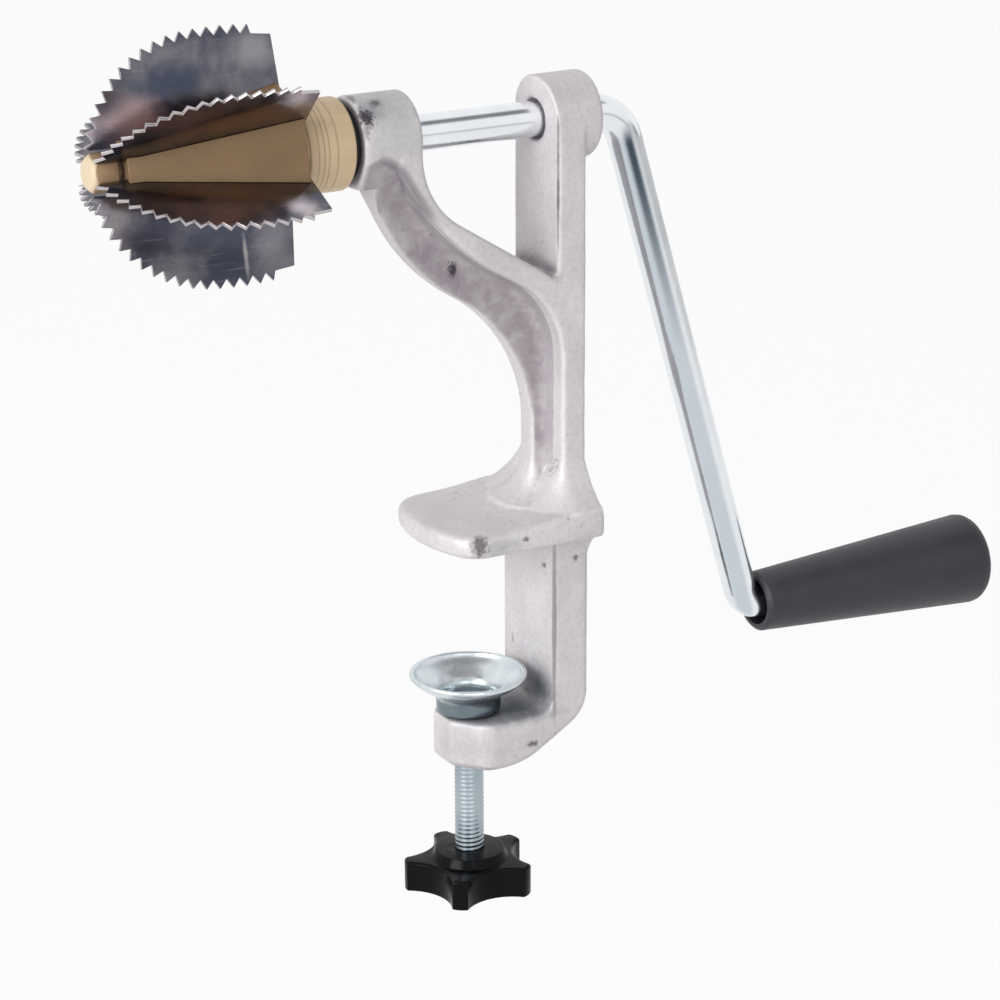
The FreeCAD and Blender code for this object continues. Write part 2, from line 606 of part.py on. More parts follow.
def revolved(points, axis_z):
    """Solid of revolution about a line along X; points are (x, radius)."""
    pts = [V(x, 0, axis_z + r) for x, r in points]
    face = Part.Face(Part.Wire(chain(pts + [pts[0]])))
    return face.revolve(V(0, 0, axis_z), V(1, 0, 0), 360)


def lathe(points):
    """Solid of revolution about the screw's axis; points are (radius, z)."""
    pts = [V(r, 0, z) for r, z in points]
    face = Part.Face(Part.Wire(chain(pts + [pts[0]])))
    return face.revolve(V(0, 0, 0), V(0, 0, 1), 360)


def crown(s):
    """Point and outward normal of the blade's rounded outline at arc length s."""
    back_cz = CROWN_R - BACK_ARC_R
    a0 = math.asin((FIRST_TIP_X - CROWN_X) / BACK_ARC_R)
    a1 = math.asin((ARC_JOIN_X - CROWN_X) / BACK_ARC_R)
    back = BACK_ARC_R * (a0 - a1)
    if s <= back:
        a = a0 - s / BACK_ARC_R
        n = (math.sin(a), math.cos(a))
        return CROWN_X + BACK_ARC_R * n[0], back_cz + BACK_ARC_R * n[1], n
    jn = (math.sin(a1), math.cos(a1))
    jx, jz = CROWN_X + BACK_ARC_R * jn[0], back_cz + BACK_ARC_R * jn[1]
    cx, cz = jx - FRONT_ARC_R * jn[0], jz - FRONT_ARC_R * jn[1]
    a = a1 - (s - back) / FRONT_ARC_R
    n = (math.sin(a), math.cos(a))
    return cx + FRONT_ARC_R * n[0], cz + FRONT_ARC_R * n[1], n


HEAD_FRONT_X = crown((TOOTH_TIPS - 1) * TOOTH_PITCH)[0]
HUB_X0 = HEAD_FRONT_X + HUB_SETBACK
HUB_TAPER_X = HUB_X0 + HUB_STRAIGHT
NOSE_CAP_X0 = HEAD_FRONT_X + NOSE_SETBACK
NOSE_CAP_X1 = NOSE_CAP_X0 + NOSE_CAP_LENGTH


def slot_floor(x):
    k = (x - HUB_X0) / (HUB_X1 - HUB_X0)
    return SLOT_R0 + k * (SLOT_R1 - SLOT_R0)


def blade(index):
    """Flat blade with triangular teeth round its outer edge and a plain shoulder behind."""
    back = HUB_X1 + 1.0
    pts = [(HUB_X1 - 0.2, SHOULDER_R0), (FIRST_TIP_X + 0.7, SHOULDER_R1)]
    for i in range(TOOTH_TIPS):
        x, r, n = crown(i * TOOTH_PITCH)
        pts.append((x, r))
        if i < TOOTH_TIPS - 1:
            x, r, n = crown((i + 0.5) * TOOTH_PITCH)
            pts.append((x - TOOTH_DEPTH * n[0], r - TOOTH_DEPTH * n[1]))
    inner = NOSE_CAP_R + NOSE_BLADE_GAP
    pts += [(NOSE_CAP_X0 + 1.2, inner), (HUB_X0 - 0.2, inner), (HUB_X0, slot_floor(HUB_X0)),
            (HUB_X1, slot_floor(HUB_X1)), (HUB_X1 + 0.05, COLLAR_R + 0.35), (back, COLLAR_R + 0.5)]
    outline = [V(x, 0, r) for x, r in pts]
    solid = polygon(outline).extrude(V(0, BLADE_T, 0))
    solid.translate(V(0, -BLADE_T / 2.0, 0))
    return turned(solid, BLADE_ANGLE0 + index * 360.0 / BLADES)


def hexagon(x, r):
    turns = [BLADE_ANGLE0 + i * 360.0 / BLADES for i in range(BLADES)]
    return [V(x, 0, SHAFT_Z) + head_dir(turn) * r for turn in turns]


def polygon(pts):
    return Part.Face(Part.Wire(chain(pts + [pts[0]])))


def hexagonal(stations):
    """Flat-sided solid through hexagons at (x, radius), their corners at the blades' angles."""
    rings = [hexagon(x, r) for x, r in stations]
    faces = [polygon(rings[0]), polygon(rings[-1])]
    for a, b in zip(rings[:-1], rings[1:]):
        for i in range(BLADES):
            j = (i + 1) % BLADES
            faces.append(polygon([a[i], a[j], b[j], b[i]]))
    return Part.Solid(Part.Shell(faces))


def blade_hub():
    """Tapered hexagonal hub, slotted at each corner to take the blades."""
    hub = hexagonal([(HUB_X0, HUB_R0), (HUB_TAPER_X, HUB_R0), (HUB_X1, HUB_R1)])
    width = BLADE_T / 2.0 + SLOT_PLAY
    for i in range(BLADES):
        base = [V(HUB_X0 - 1, -width, slot_floor(HUB_X0 - 1) - SLOT_PLAY),
                V(HUB_X1 + 1, -width, slot_floor(HUB_X1 + 1) - SLOT_PLAY),
                V(HUB_X1 + 1, -width, 30), V(HUB_X0 - 1, -width, 30)]
        slot = polygon(base).extrude(V(0, 2 * width, 0))
        hub = hub.cut(turned(slot, BLADE_ANGLE0 + i * 360.0 / BLADES))
    hub = hub.cut(cyl_x(SPIGOT_D / 2.0 + HUB_PLAY, HUB_X0 - 1, SPIGOT_X))
    return hub.cut(cyl_x(ROD_D / 2.0 + HUB_PLAY, SPIGOT_X - HUB_PLAY, HUB_X1 + 1))


def hub_collar():
    """Grooved ring between the hub and the front boss."""
    bore = ROD_D / 2.0 + HUB_PLAY
    x = HUB_X1 + COLLAR_GROOVE_SETOUT
    g = COLLAR_GROOVE
    return revolved([
        (HUB_X1, bore), (HUB_X1, COLLAR_R), (x - g, COLLAR_R), (x, COLLAR_R - g), (x + g, COLLAR_R),
        (COLLAR_X1 - COLLAR_EDGE, COLLAR_R), (COLLAR_X1, COLLAR_R - COLLAR_EDGE), (COLLAR_X1, bore),
    ], SHAFT_Z)


def nose_cap():
    """Hexagonal nose with a round neck that bears on the hub."""
    prism = hexagonal([(NOSE_CAP_X0, NOSE_CAP_R), (NOSE_CAP_X1, NOSE_CAP_R)])
    point = cone_x(NOSE_CAP_R - 1.3, NOSE_CAP_R + 0.1, NOSE_CAP_X0, NOSE_CAP_X0 + 1.5)
    rest = cyl_x(NOSE_CAP_R + 0.1, NOSE_CAP_X0 + 1.5, NOSE_CAP_X1)
    cap = prism.common(point.fuse(rest)).fuse(cyl_x(NOSE_NECK_R, NOSE_CAP_X1 - 0.5, HUB_X0))
    return cap.cut(cyl_x(SPIGOT_D / 2.0 + HUB_PLAY, HEAD_FRONT_X + SPIGOT_SETBACK - 0.2, HUB_X0 + 1))


def thrust_washer():
    washer = cyl_x(WASHER_R, COLLAR_X1, FRONT_BOSS_X0 - WASHER_PLAY)
    return washer.cut(cyl_x(ROD_D / 2.0 + HUB_PLAY, COLLAR_X1 - 1, FRONT_BOSS_X0 + 1))


def grip():
    """Tapered grip, bell-mouthed at the arm and counterbored for the push nut."""
    run = ROD_D / 2.0 + GRIP_PLAY
    mouth = GRIP_X0 + GRIP_MOUTH_DEPTH
    points = [
        (GRIP_X0, GRIP_MOUTH_R), (GRIP_X0, GRIP_R0 - 0.8), (GRIP_X0 + 0.8, GRIP_R0),
        (GRIP_X1, GRIP_R1), (GRIP_X1, GRIP_POCKET_R), (GRIP_POCKET_X, GRIP_POCKET_R),
        (GRIP_POCKET_X, run), (mouth, run), (mouth - 2.5, GRIP_MOUTH_R - 0.3),
    ]
    return revolved(points, GRIP_Z)


def grip_end_cap():
    """Cap of the grip's own diameter with a spigot that plugs the pocket."""
    lip = GRIP_X1
    end = GRIP_X1 + CAP_T
    edge = CAP_EDGE_R
    steps = 4
    points = [
        (lip, 0), (lip - CAP_SPIGOT, 0), (lip - CAP_SPIGOT, GRIP_POCKET_R), (lip, GRIP_POCKET_R),
        (lip, GRIP_R1),
    ]
    for i in range(1, steps + 1):
        t = math.radians(90.0 / steps * i)
        points.append((end - edge + edge * math.sin(t), GRIP_R1 - edge + edge * math.cos(t)))
    points.append((end, 0))
    return revolved(points, GRIP_Z)


def grip_push_nut():
    x = GRIP_POCKET_X + 0.35
    ring = cyl_x(PUSH_NUT_R, x, x + PUSH_NUT_T, GRIP_Z)
    ring = ring.fuse(cyl_x(ROD_D / 2.0 + 1.3, x, x + PUSH_NUT_T + 1.0, GRIP_Z))
    return ring.cut(cyl_x(ROD_D / 2.0, x - 1, x + 5, GRIP_Z))


def clamp_screw():
    """M8 screw; a reduced neck passes through the cup and is peened over inside it."""
    r = SCREW_D / 2.0
    n = SCREW_NECK_D / 2.0
    top = DISH_BASE_Z + DISH_T
    return lathe([
        (0, SCREW_END_Z), (r - 0.8, SCREW_END_Z), (r, SCREW_END_Z + 0.8), (r, DISH_BASE_Z - 0.05),
        (n, DISH_BASE_Z - 0.05), (n, top + 0.05), (n + 1.5, top + 0.05), (n + 1.5, top + 0.6),
        (n + 0.3, top + 1.6), (0, top + 1.6),
    ])


def clamp_dish():
    """Pressed cup: flat rim, wall flaring from a straight neck, base that turns on the screw."""
    t = DISH_T
    hole = SCREW_NECK_D / 2.0 + 0.06
    base = DISH_BASE_Z
    neck_z = base + DISH_NECK_H
    wide = DISH_R - DISH_NECK_R
    high = DISH_RIM_Z - t - neck_z
    outer = [(DISH_NECK_R + wide * k, neck_z + high * m) for k, m in DISH_FLARE]
    inner = []
    for i, (r, z) in enumerate(outer):
        r0, z0 = outer[max(i - 1, 0)]
        r1, z1 = (outer + [(DISH_R, DISH_RIM_Z - t)])[i + 1]
        size = math.hypot(r1 - r0, z1 - z0)
        inner.append((r - t * (z1 - z0) / size, z + t * (r1 - r0) / size))
    points = [(hole, base), (DISH_NECK_R - 0.5, base), (DISH_NECK_R, base + 0.5)] + outer
    points += [(DISH_R, DISH_RIM_Z - t), (DISH_R, DISH_RIM_Z), (DISH_R - DISH_LIP, DISH_RIM_Z)]
    points += inner[::-1]
    return lathe(points + [(DISH_NECK_R - t, base + t), (hole, base + t)])


def knob():
    """Star knob: five narrow lobes between concave scallops, with a raised hub on top."""
    step = 360.0 / KNOB_LOBES
    half = KNOB_LOBE_HALF_ANGLE

    def at(radius, angle):
        t = math.radians(KNOB_TURN + angle)
        return V(radius * math.cos(t), radius * math.sin(t), KNOB_BOTTOM_Z)
    corner = KNOB_TIP_R - KNOB_TIP_BOW
    edges = []
    for i in range(KNOB_LOBES):
        a = i * step
        tip = Part.Arc(at(corner, a - half), at(KNOB_TIP_R, a), at(corner, a + half))
        hollow = Part.Arc(at(corner, a + half), at(KNOB_WAIST_R, a + step / 2.0),
                          at(corner, a + step - half))
        edges += [tip.toShape(), hollow.toShape()]
    face = Part.Face(Part.Wire(edges))
    star = face.extrude(V(0, 0, KNOB_LOBE_Z - KNOB_BOTTOM_Z))
    star = star.makeChamfer(KNOB_EDGE, edges_where(star, lambda e: mid_of(e).z > KNOB_LOBE_Z - 0.01))
    hub = Part.makeCone(KNOB_HUB_R + 1.0, KNOB_HUB_R - 0.4, KNOB_TOP_Z - KNOB_LOBE_Z + 0.4,
                        V(0, 0, KNOB_LOBE_Z - 0.4), V(0, 0, 1))
    body = star.fuse(hub)
    body = body.cut(cyl_z(SCREW_D / 2.0, KNOB_BOTTOM_Z - 1, KNOB_TOP_Z + 1))
    pocket = hex_prism(KNOB_NUT_AF, KNOB_BOTTOM_Z - 1, SCREW_END_Z + KNOB_NUT_T)
    return body.cut(pocket)


def hex_prism(across_flats, z0, z1):
    r = across_flats / math.sqrt(3.0)
    pts = []
    for i in range(7):
        t = math.radians(60.0 * i)
        pts.append(V(r * math.cos(t), r * math.sin(t), z0))
    return Part.Face(Part.Wire(chain(pts))).extrude(V(0, 0, z1 - z0))


def knob_nut():
    z0 = SCREW_END_Z
    nut = hex_prism(KNOB_NUT_AF, z0, z0 + KNOB_NUT_T)
    return nut.cut(cyl_z(SCREW_D / 2.0, z0 - 1, z0 + KNOB_NUT_T + 1))


NODES = {
    "frame_casting": frame_casting,
    "crank_rod": crank_rod,
    "blade_hub": blade_hub,
    "hub_collar": hub_collar,
    "nose_cap": nose_cap,
    "thrust_washer": thrust_washer,
    "grip": grip,
    "grip_end_cap": grip_end_cap,
    "grip_push_nut": grip_push_nut,
    "clamp_screw": clamp_screw,
    "clamp_dish": clamp_dish,
    "knob": knob,
    "knob_nut": knob_nut,
}

os.makedirs("parts", exist_ok=True)
for name, make in NODES.items():
    shape = make()
    shape.exportStep("parts/" + name + ".step")
    print(name, shape.isValid(), len(shape.Solids), round(shape.Volume))
for i in range(BLADES):
    shape = blade(i)
    shape.exportStep("parts/blade_" + str(i + 1) + ".step")
    print("blade", i + 1, shape.isValid(), round(shape.Volume))
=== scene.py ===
import math

import bmesh
import bpy
from mathutils import Matrix, Vector, noise

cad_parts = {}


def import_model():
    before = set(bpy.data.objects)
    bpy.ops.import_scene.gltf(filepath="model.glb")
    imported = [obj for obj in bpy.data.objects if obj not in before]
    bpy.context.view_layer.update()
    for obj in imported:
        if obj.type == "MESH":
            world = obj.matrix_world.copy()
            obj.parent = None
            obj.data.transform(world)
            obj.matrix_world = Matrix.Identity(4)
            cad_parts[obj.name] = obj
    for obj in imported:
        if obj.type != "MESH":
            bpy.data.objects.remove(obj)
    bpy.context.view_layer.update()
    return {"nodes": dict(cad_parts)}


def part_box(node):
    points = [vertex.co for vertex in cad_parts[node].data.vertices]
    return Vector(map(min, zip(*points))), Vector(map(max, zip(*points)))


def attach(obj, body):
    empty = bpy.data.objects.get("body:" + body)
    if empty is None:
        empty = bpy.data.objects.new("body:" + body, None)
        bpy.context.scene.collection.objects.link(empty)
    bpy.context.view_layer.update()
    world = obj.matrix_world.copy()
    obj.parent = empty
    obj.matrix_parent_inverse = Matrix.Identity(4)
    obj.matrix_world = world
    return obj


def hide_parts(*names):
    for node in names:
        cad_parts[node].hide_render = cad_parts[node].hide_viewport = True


# Hand crank coconut grater: finish of every surface, threads, cast texture and small detail.
# Metres, in the CAD model's own frame. X along the shaft, -X towards the blades, Z up.

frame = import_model()
NODES = frame["nodes"]

MM = 0.001


def box_of(node):
    low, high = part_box(node)
    return Vector(low), Vector(high)


def in_mm(values):
    return tuple(value * MM for value in values)


ROD_LOW, ROD_HIGH = box_of("crank_rod")
COLLAR_LOW, COLLAR_HIGH = box_of("hub_collar")
NOSE_LOW, NOSE_HIGH = box_of("nose_cap")
SCREW_LOW, SCREW_HIGH = box_of("clamp_screw")
DISH_LOW, DISH_HIGH = box_of("clamp_dish")
SHAFT_Z = (COLLAR_LOW.z + COLLAR_HIGH.z) / 2
ROD_RADIUS = (ROD_HIGH.y - ROD_LOW.y) / 2
CUP_NECK_Z = DISH_LOW.z + 3.6 * MM


# ------------------------------------------------------------------ node helpers
class Shader:
    """A material under construction, with short calls for the nodes it is made of."""

    def __init__(self, name):
        self.mat = bpy.data.materials.new(name)
        self.mat.use_nodes = True
        self.tree = self.mat.node_tree
        self.nodes = self.tree.nodes
        self.links = self.tree.links
        self.bsdf = self.nodes["Principled BSDF"]
        coord = self.nodes.new("ShaderNodeTexCoord")
        self.place = coord.outputs["Object"]
        self.facing = coord.outputs["Normal"]

    def put(self, value, socket):
        if isinstance(value, bpy.types.NodeSocket):
            self.links.new(value, socket)
        elif isinstance(value, (tuple, list)) and len(value) == 3 and len(socket.default_value) == 4:
            socket.default_value = (*value, 1.0)
        else:
            socket.default_value = value

    def set(self, **values):
        names = {"color": "Base Color", "metallic": "Metallic", "roughness": "Roughness",
                 "specular": "Specular IOR Level", "normal": "Normal"}
        for key, value in values.items():
            self.put(value, self.bsdf.inputs[names[key]])

    def math(self, operation, a, b=0.0):
        n = self.nodes.new("ShaderNodeMath")
        n.operation = operation
        self.put(a, n.inputs[0])
        self.put(b, n.inputs[1])
        return n.outputs[0]

    def times(self, first, *others):
        for other in others:
            first = self.math("MULTIPLY", first, other)
        return first

    def off(self, value, middle):
        """Distance of a value from a middle one, either way."""
        return self.math("ABSOLUTE", self.math("SUBTRACT", value, middle))

    def scaled(self, factors):
        n = self.nodes.new("ShaderNodeMapping")
        n.inputs["Scale"].default_value = factors
        self.put(self.place, n.inputs["Vector"])
        return n.outputs[0]

    def noise(self, scale, detail=3.0, rough=0.55, distortion=0.0, place=None):
        n = self.nodes.new("ShaderNodeTexNoise")
        n.inputs["Scale"].default_value = scale
        n.inputs["Detail"].default_value = detail
        n.inputs["Roughness"].default_value = rough
        n.inputs["Distortion"].default_value = distortion
        self.put(place or self.place, n.inputs["Vector"])
        return n.outputs["Fac"]

    def cells(self, scale):
        n = self.nodes.new("ShaderNodeTexVoronoi")
        n.inputs["Scale"].default_value = scale
        self.put(self.place, n.inputs["Vector"])
        return n.outputs["Distance"]

    def ramp(self, value, low, high, out_low=0.0, out_high=1.0):
        n = self.nodes.new("ShaderNodeMapRange")
        n.interpolation_type = "SMOOTHSTEP"
        self.put(value, n.inputs["Value"])
        n.inputs["From Min"].default_value = low
        n.inputs["From Max"].default_value = high
        n.inputs["To Min"].default_value = out_low
        n.inputs["To Max"].default_value = out_high
        return n.outputs["Result"]

    def mix(self, factor, a, b):
        n = self.nodes.new("ShaderNodeMix")
        n.data_type = "RGBA"
        self.put(factor, n.inputs[0])
        self.put(a, n.inputs[6])
        self.put(b, n.inputs[7])
        return n.outputs[2]

    def near(self, centre, radii, wobble=0.0, wobble_scale=900.0, start=0.45):
        """Falls from 1 at a place on the surface to 0 at the given radii, with a ragged edge."""
        shift = self.nodes.new("ShaderNodeVectorMath")
        shift.operation = "SUBTRACT"
        self.put(self.place, shift.inputs[0])
        shift.inputs[1].default_value = centre
        size = self.nodes.new("ShaderNodeVectorMath")
        size.operation = "DIVIDE"
        self.links.new(shift.outputs[0], size.inputs[0])
        size.inputs[1].default_value = radii
        length = self.nodes.new("ShaderNodeVectorMath")
        length.operation = "LENGTH"
        self.links.new(size.outputs[0], length.inputs[0])
        reach = length.outputs["Value"]
        if wobble:
            rag = self.times(self.math("SUBTRACT", self.noise(wobble_scale, 3.0), 0.5), wobble)
            reach = self.math("ADD", reach, rag)
        return self.ramp(reach, start, 1.0, 1.0, 0.0)

    def axis(self, name, vector=None):
        n = self.nodes.new("ShaderNodeSeparateXYZ")
        self.put(vector or self.place, n.inputs[0])
        return n.outputs[name]

    def hollows(self, distance):
        n = self.nodes.new("ShaderNodeAmbientOcclusion")
        n.samples = 8
        n.inputs["Distance"].default_value = distance
        return n.outputs["AO"]

    def bump(self, height, distance, strength):
        n = self.nodes.new("ShaderNodeBump")
        n.inputs["Strength"].default_value = strength
        n.inputs["Distance"].default_value = distance
        self.put(height, n.inputs["Height"])
        return n.outputs["Normal"]


# ------------------------------------------------------------------ materials
# cast flaws, and one spot of painted shade: place and reach in millimetres, and how dark they are
FLAWS = (
    ((-32.2, -8.4, 116.6), (3.3, 3.9, 3.9), 1.0),
    ((-28.2, -5.4, 119.2), (2.6, 2.6, 1.4), 0.75),
    ((-33.0, -2.0, 120.2), (1.6, 3.5, 1.2), 0.60),
    ((-33.2, -10.4, 113.5), (1.4, 2.0, 3.0), 0.50),
    ((-5.6, -3.6, 73.4), (2.1, 2.5, 3.0), 1.0),
    ((12.1, -13.6, -57.7), (2.2, 2.0, 1.2), 0.85),
    ((6.1, -20.9, 3.7), (1.4, 1.5, 1.0), 0.75),
    ((-7.4, -20.0, 4.0), (3.4, 3.0, 5.0), 0.80),
    ((18.6, -8.8, -9.4), (2.0, 1.3, 1.1), 0.70),
    ((25.3, -13.6, -7.2), (1.2, 2.0, 1.2), 0.75),
    ((18.6, 7.8, -35.5), (2.0, 0.9, 2.0), 0.50),
    # the next spot is painted shade at the foot of the web's channel, not a flaw
    ((24.0, -7.4, 13.5), (3.8, 4.6, 8.0), 0.75),
)
# painted shade: dark lines along two corners
LINES = (
    ((21.0, -11.2, 95.0), (0.75, 0.9, 32.0), 0.85),
    ((18.9, -13.2, -25.0), (0.95, 1.05, 42.0), 0.62),
)
# broad patches of painted shadow by the cup, and of painted shade in the corners and on the front boss
SHADE_PATCHES = (
    ((9.0, -5.0, -50.0), (20.0, 17.0, 3.0), 0.95),
    ((18.6, -6.0, -45.0), (3.0, 11.0, 10.0), 0.85),
    ((-30.0, -7.0, 118.0), (6.5, 7.0, 4.0), 0.40),
    ((21.0, -9.0, 70.0), (3.0, 5.0, 4.0), 0.45),
    ((-1.0, -21.0, 2.5), (9.0, 2.0, 3.5), 0.25),
    ((-6.0, -8.0, -57.0), (13.0, 13.0, 10.0), 0.24),
    ((-25.0, -2.0, 114.0), (17.0, 22.0, 19.0), 0.34),
)
# the front boss runs down into the web in front of the flange, whose front edge is a straight slope here
BOSS_RADIUS = 11.7 * MM
WEB_HALF = 3.6 * MM
FLOW_START = 4 * MM          # below the shaft's axis
FLOW_END = 18.5 * MM
FLOW_FADE = 1.2 * MM
CREASE_TOP_X = -30 * MM
CREASE_TOP_FALL = 2.5 * MM
CREASE_SLOPE = 0.5
EDGE_X = -23.7 * MM
EDGE_Z = 103 * MM
EDGE_SLOPE = 0.635
ROOT_SHADE = (0.190, 0.165, 0.190)


def boss_recess(s, height, aside, broad):
    """Where the dull skin, with painted shade, runs up onto the front boss, and the painted shade of the
    soft dark crease around it.
    """
    along = s.axis("X")
    over = s.times(s.off(along, CREASE_TOP_X), CREASE_SLOPE)
    under = s.math("SUBTRACT", s.math("SUBTRACT", SHAFT_Z - CREASE_TOP_FALL, height), over)
    edge = s.math("ADD", s.times(height, -EDGE_SLOPE), EDGE_X + EDGE_SLOPE * EDGE_Z)
    inside = s.math("MINIMUM", under, s.math("SUBTRACT", edge, along))
    inside = s.math("ADD", inside, s.times(broad, 1.2 * MM))
    front = s.times(s.ramp(along, -34 * MM, -32.2 * MM), s.ramp(height, 86 * MM, 92 * MM))
    skin = s.times(front, s.ramp(aside, 0.30, 0.55), s.ramp(inside, 0, 1.6 * MM))
    # painted shade: the soft dark crease below the front boss
    crease_shade = s.times(s.ramp(s.off(inside, 0.9 * MM), 0.4 * MM, 2.1 * MM, 1.0, 0.0), front)
    return skin, s.times(crease_shade, s.ramp(along, -31 * MM, -28 * MM))


def casting_colour(s, broad, mottle, grain, speck):
    """Rubbed metal where the casting stands proud; a dull skin, partly painted shade, in the arm's recess
    and on the front boss; painted shade along the crease and the web's root; broad patches of painted
    shade and shadow.
    """
    rubbed = s.mix(s.ramp(broad, 0.3, 0.7), (0.628, 0.592, 0.612), (0.732, 0.702, 0.716))
    # the dull skin's colour: cast skin, and also painted shade where it lies in the recess
    skin = s.mix(s.ramp(broad, 0.3, 0.7), (0.305, 0.262, 0.292), (0.395, 0.352, 0.375))
    height = s.axis("Z")
    aside = s.math("ABSOLUTE", s.axis("Y", s.facing))
    depth = s.math("ADD", s.math("ABSOLUTE", s.axis("Y")), s.times(broad, 1.0 * MM))
    arm = s.times(s.ramp(height, 9 * MM, 26 * MM), s.ramp(height, 100 * MM, 106 * MM, 1.0, 0.0))
    # darker in the arm's recess under the flange: dull cast skin and painted shade
    recess_skin_and_shade = s.times(s.ramp(depth, 7.2 * MM, 8.6 * MM, 1.0, 0.0), s.ramp(aside, 0.45, 0.85), arm)
    boss_skin_and_shade, crease_shade = boss_recess(s, height, aside, broad)
    color = s.mix(s.math("MAXIMUM", recess_skin_and_shade, boss_skin_and_shade), rubbed, skin)
    color = s.mix(s.ramp(mottle, 0.35, 0.75, 0.0, 0.40), color, (0.720, 0.712, 0.710))
    color = s.mix(s.ramp(speck, 0.32, 0.60, 0.20, 0.0), color, (0.380, 0.350, 0.372))
    color = s.mix(s.ramp(grain, 0.56, 0.80, 0.0, 0.26), color, (0.360, 0.335, 0.345))
    # painted shade: a dark line along the web's root under the flange
    root = s.times(s.ramp(depth, 4.6 * MM, 5.8 * MM), s.ramp(depth, 8.0 * MM, 9.0 * MM, 1.0, 0.0), arm)
    root = s.times(root, s.ramp(aside, 0.12, 0.35), s.ramp(height, 88 * MM, 93 * MM, 1.0, 0.0))
    color = s.mix(s.times(root, 0.55), color, ROOT_SHADE)
    color = s.mix(s.times(crease_shade, 0.58), color, ROOT_SHADE)
    # broad patches of painted shade, and of painted shadow below the cup
    for centre, radii, strength in SHADE_PATCHES:
        patch_mask = s.near(in_mm(centre), in_mm(radii), 0.5, 300.0, 0.0)
        color = s.mix(s.times(patch_mask, strength), color, (0.105, 0.130, 0.148))
    return color


def casting_marks(s):
    """Gas pits, larger flaws, and painted shade along two corners and at the foot of the web's channel: 1
    where they are darkest.
    """
    pits = s.times(s.ramp(s.cells(330.0), 0.08, 0.22, 1.0, 0.0), s.ramp(s.noise(70.0, 2.0), 0.58, 0.68))
    marks = s.times(pits, 0.38)
    for centre, radii, strength in FLAWS:
        spot = s.near(in_mm(centre), in_mm(radii), 1.5, 1100.0, 0.15)
        marks = s.math("MAXIMUM", marks, s.times(spot, strength))
    # the corner lines are painted shade
    for centre, radii, strength in LINES:
        line = s.near(in_mm(centre), in_mm(radii), 0.45, 260.0, 0.35)
        marks = s.math("MAXIMUM", marks, s.times(line, strength))
    return marks


def cast_aluminium():
    """Sand-cast aluminium, satin, with mottling, gas pits and a few larger cast flaws; painted shade
    darkens its hollows, recess, crease and corners, and a painted shadow lies below the cup.
    """
    s = Shader("cast_aluminium")
    broad = s.noise(38.0, 3.0, 0.5, 0.6)
    mottle = s.noise(260.0, 4.0, 0.6, 0.4)
    grain = s.noise(1500.0, 3.0, 0.6)
    speck = s.noise(850.0, 4.0, 0.6)
    dark = casting_marks(s)
    color = s.mix(dark, casting_colour(s, broad, mottle, grain, speck), (0.060, 0.048, 0.060))
    # painted shade: the colour darkens in hollows, from an ambient occlusion mask
    hollow_shade = s.ramp(s.hollows(5.0 * MM), 0.35, 0.90, 0.62, 0.0)
    color = s.mix(hollow_shade, color, (0.230, 0.205, 0.235))
    rough = s.ramp(mottle, 0.3, 0.7, 0.52, 0.66)
    relief = s.math("ADD", s.times(grain, 0.5), s.times(mottle, 0.9))
    relief = s.math("ADD", relief, s.times(speck, 0.6))
    relief = s.math("SUBTRACT", relief, s.times(dark, 2.2))
    s.set(color=color, metallic=0.45, roughness=rough, normal=s.bump(relief, 0.12 * MM, 0.9))
    return s.mat


# the crank's arm leans 16.4 degrees: that lean, and the arm's place across and along it
ARM_LEAN = (0.282, 0.959)
ARM_CORNER_X = 45.4 * MM
ARM_ACROSS = ARM_CORNER_X * ARM_LEAN[1] + SHAFT_Z * ARM_LEAN[0]
ARM_TOP = ARM_CORNER_X * ARM_LEAN[0] - SHAFT_Z * ARM_LEAN[1] + 8 * MM


def plated_rod():
    """Bright plated bar, near mirror, with drawing lines, and a painted reflection on the arm's front: a
    darker band with a dark streak in it.
    """
    s = Shader("plated_rod")
    haze = s.noise(90.0, 3.0, 0.55, 0.3)
    marks = s.noise(900.0, 2.0, 0.5, place=s.scaled((0.12, 1.0, 0.4)))
    color = s.mix(s.ramp(haze, 0.35, 0.7), (0.790, 0.825, 0.860), (0.870, 0.890, 0.910))
    lean_x, lean_z = ARM_LEAN
    along = s.math("SUBTRACT", s.times(s.axis("X"), lean_x), s.times(s.axis("Z"), lean_z))
    across = s.math("ADD", s.times(s.axis("X"), lean_z), s.times(s.axis("Z"), lean_x))
    upright = s.ramp(along, ARM_TOP - 6 * MM, ARM_TOP + 1 * MM)
    front = s.times(s.ramp(s.axis("Y"), -3.0 * MM, -1.0 * MM, 1.0, 0.0), upright)
    # painted reflection: a broad darker band down the arm's front
    reflection_band = s.ramp(s.off(across, ARM_ACROSS - 1.9 * MM), 1.2 * MM, 2.7 * MM, 1.0, 0.0)
    color = s.mix(s.times(reflection_band, front, 0.75), color, (0.500, 0.560, 0.620))
    # painted reflection: a dark streak, fading down the arm
    reflection_streak = s.ramp(s.off(across, ARM_ACROSS - 1.2 * MM), 0.35 * MM, 1.75 * MM, 1.0, 0.0)
    fade = s.ramp(along, ARM_TOP + 2 * MM, ARM_TOP + 72 * MM, 1.0, 0.0)
    color = s.mix(s.times(reflection_streak, front, fade, 0.97), color, (0.040, 0.062, 0.085))
    rough = s.math("ADD", s.ramp(haze, 0.3, 0.75, 0.15, 0.22), s.ramp(marks, 0.6, 0.75, 0.0, 0.08))
    s.set(color=color, metallic=1.0, roughness=rough, normal=s.bump(marks, 0.01 * MM, 0.35))
    return s.mat
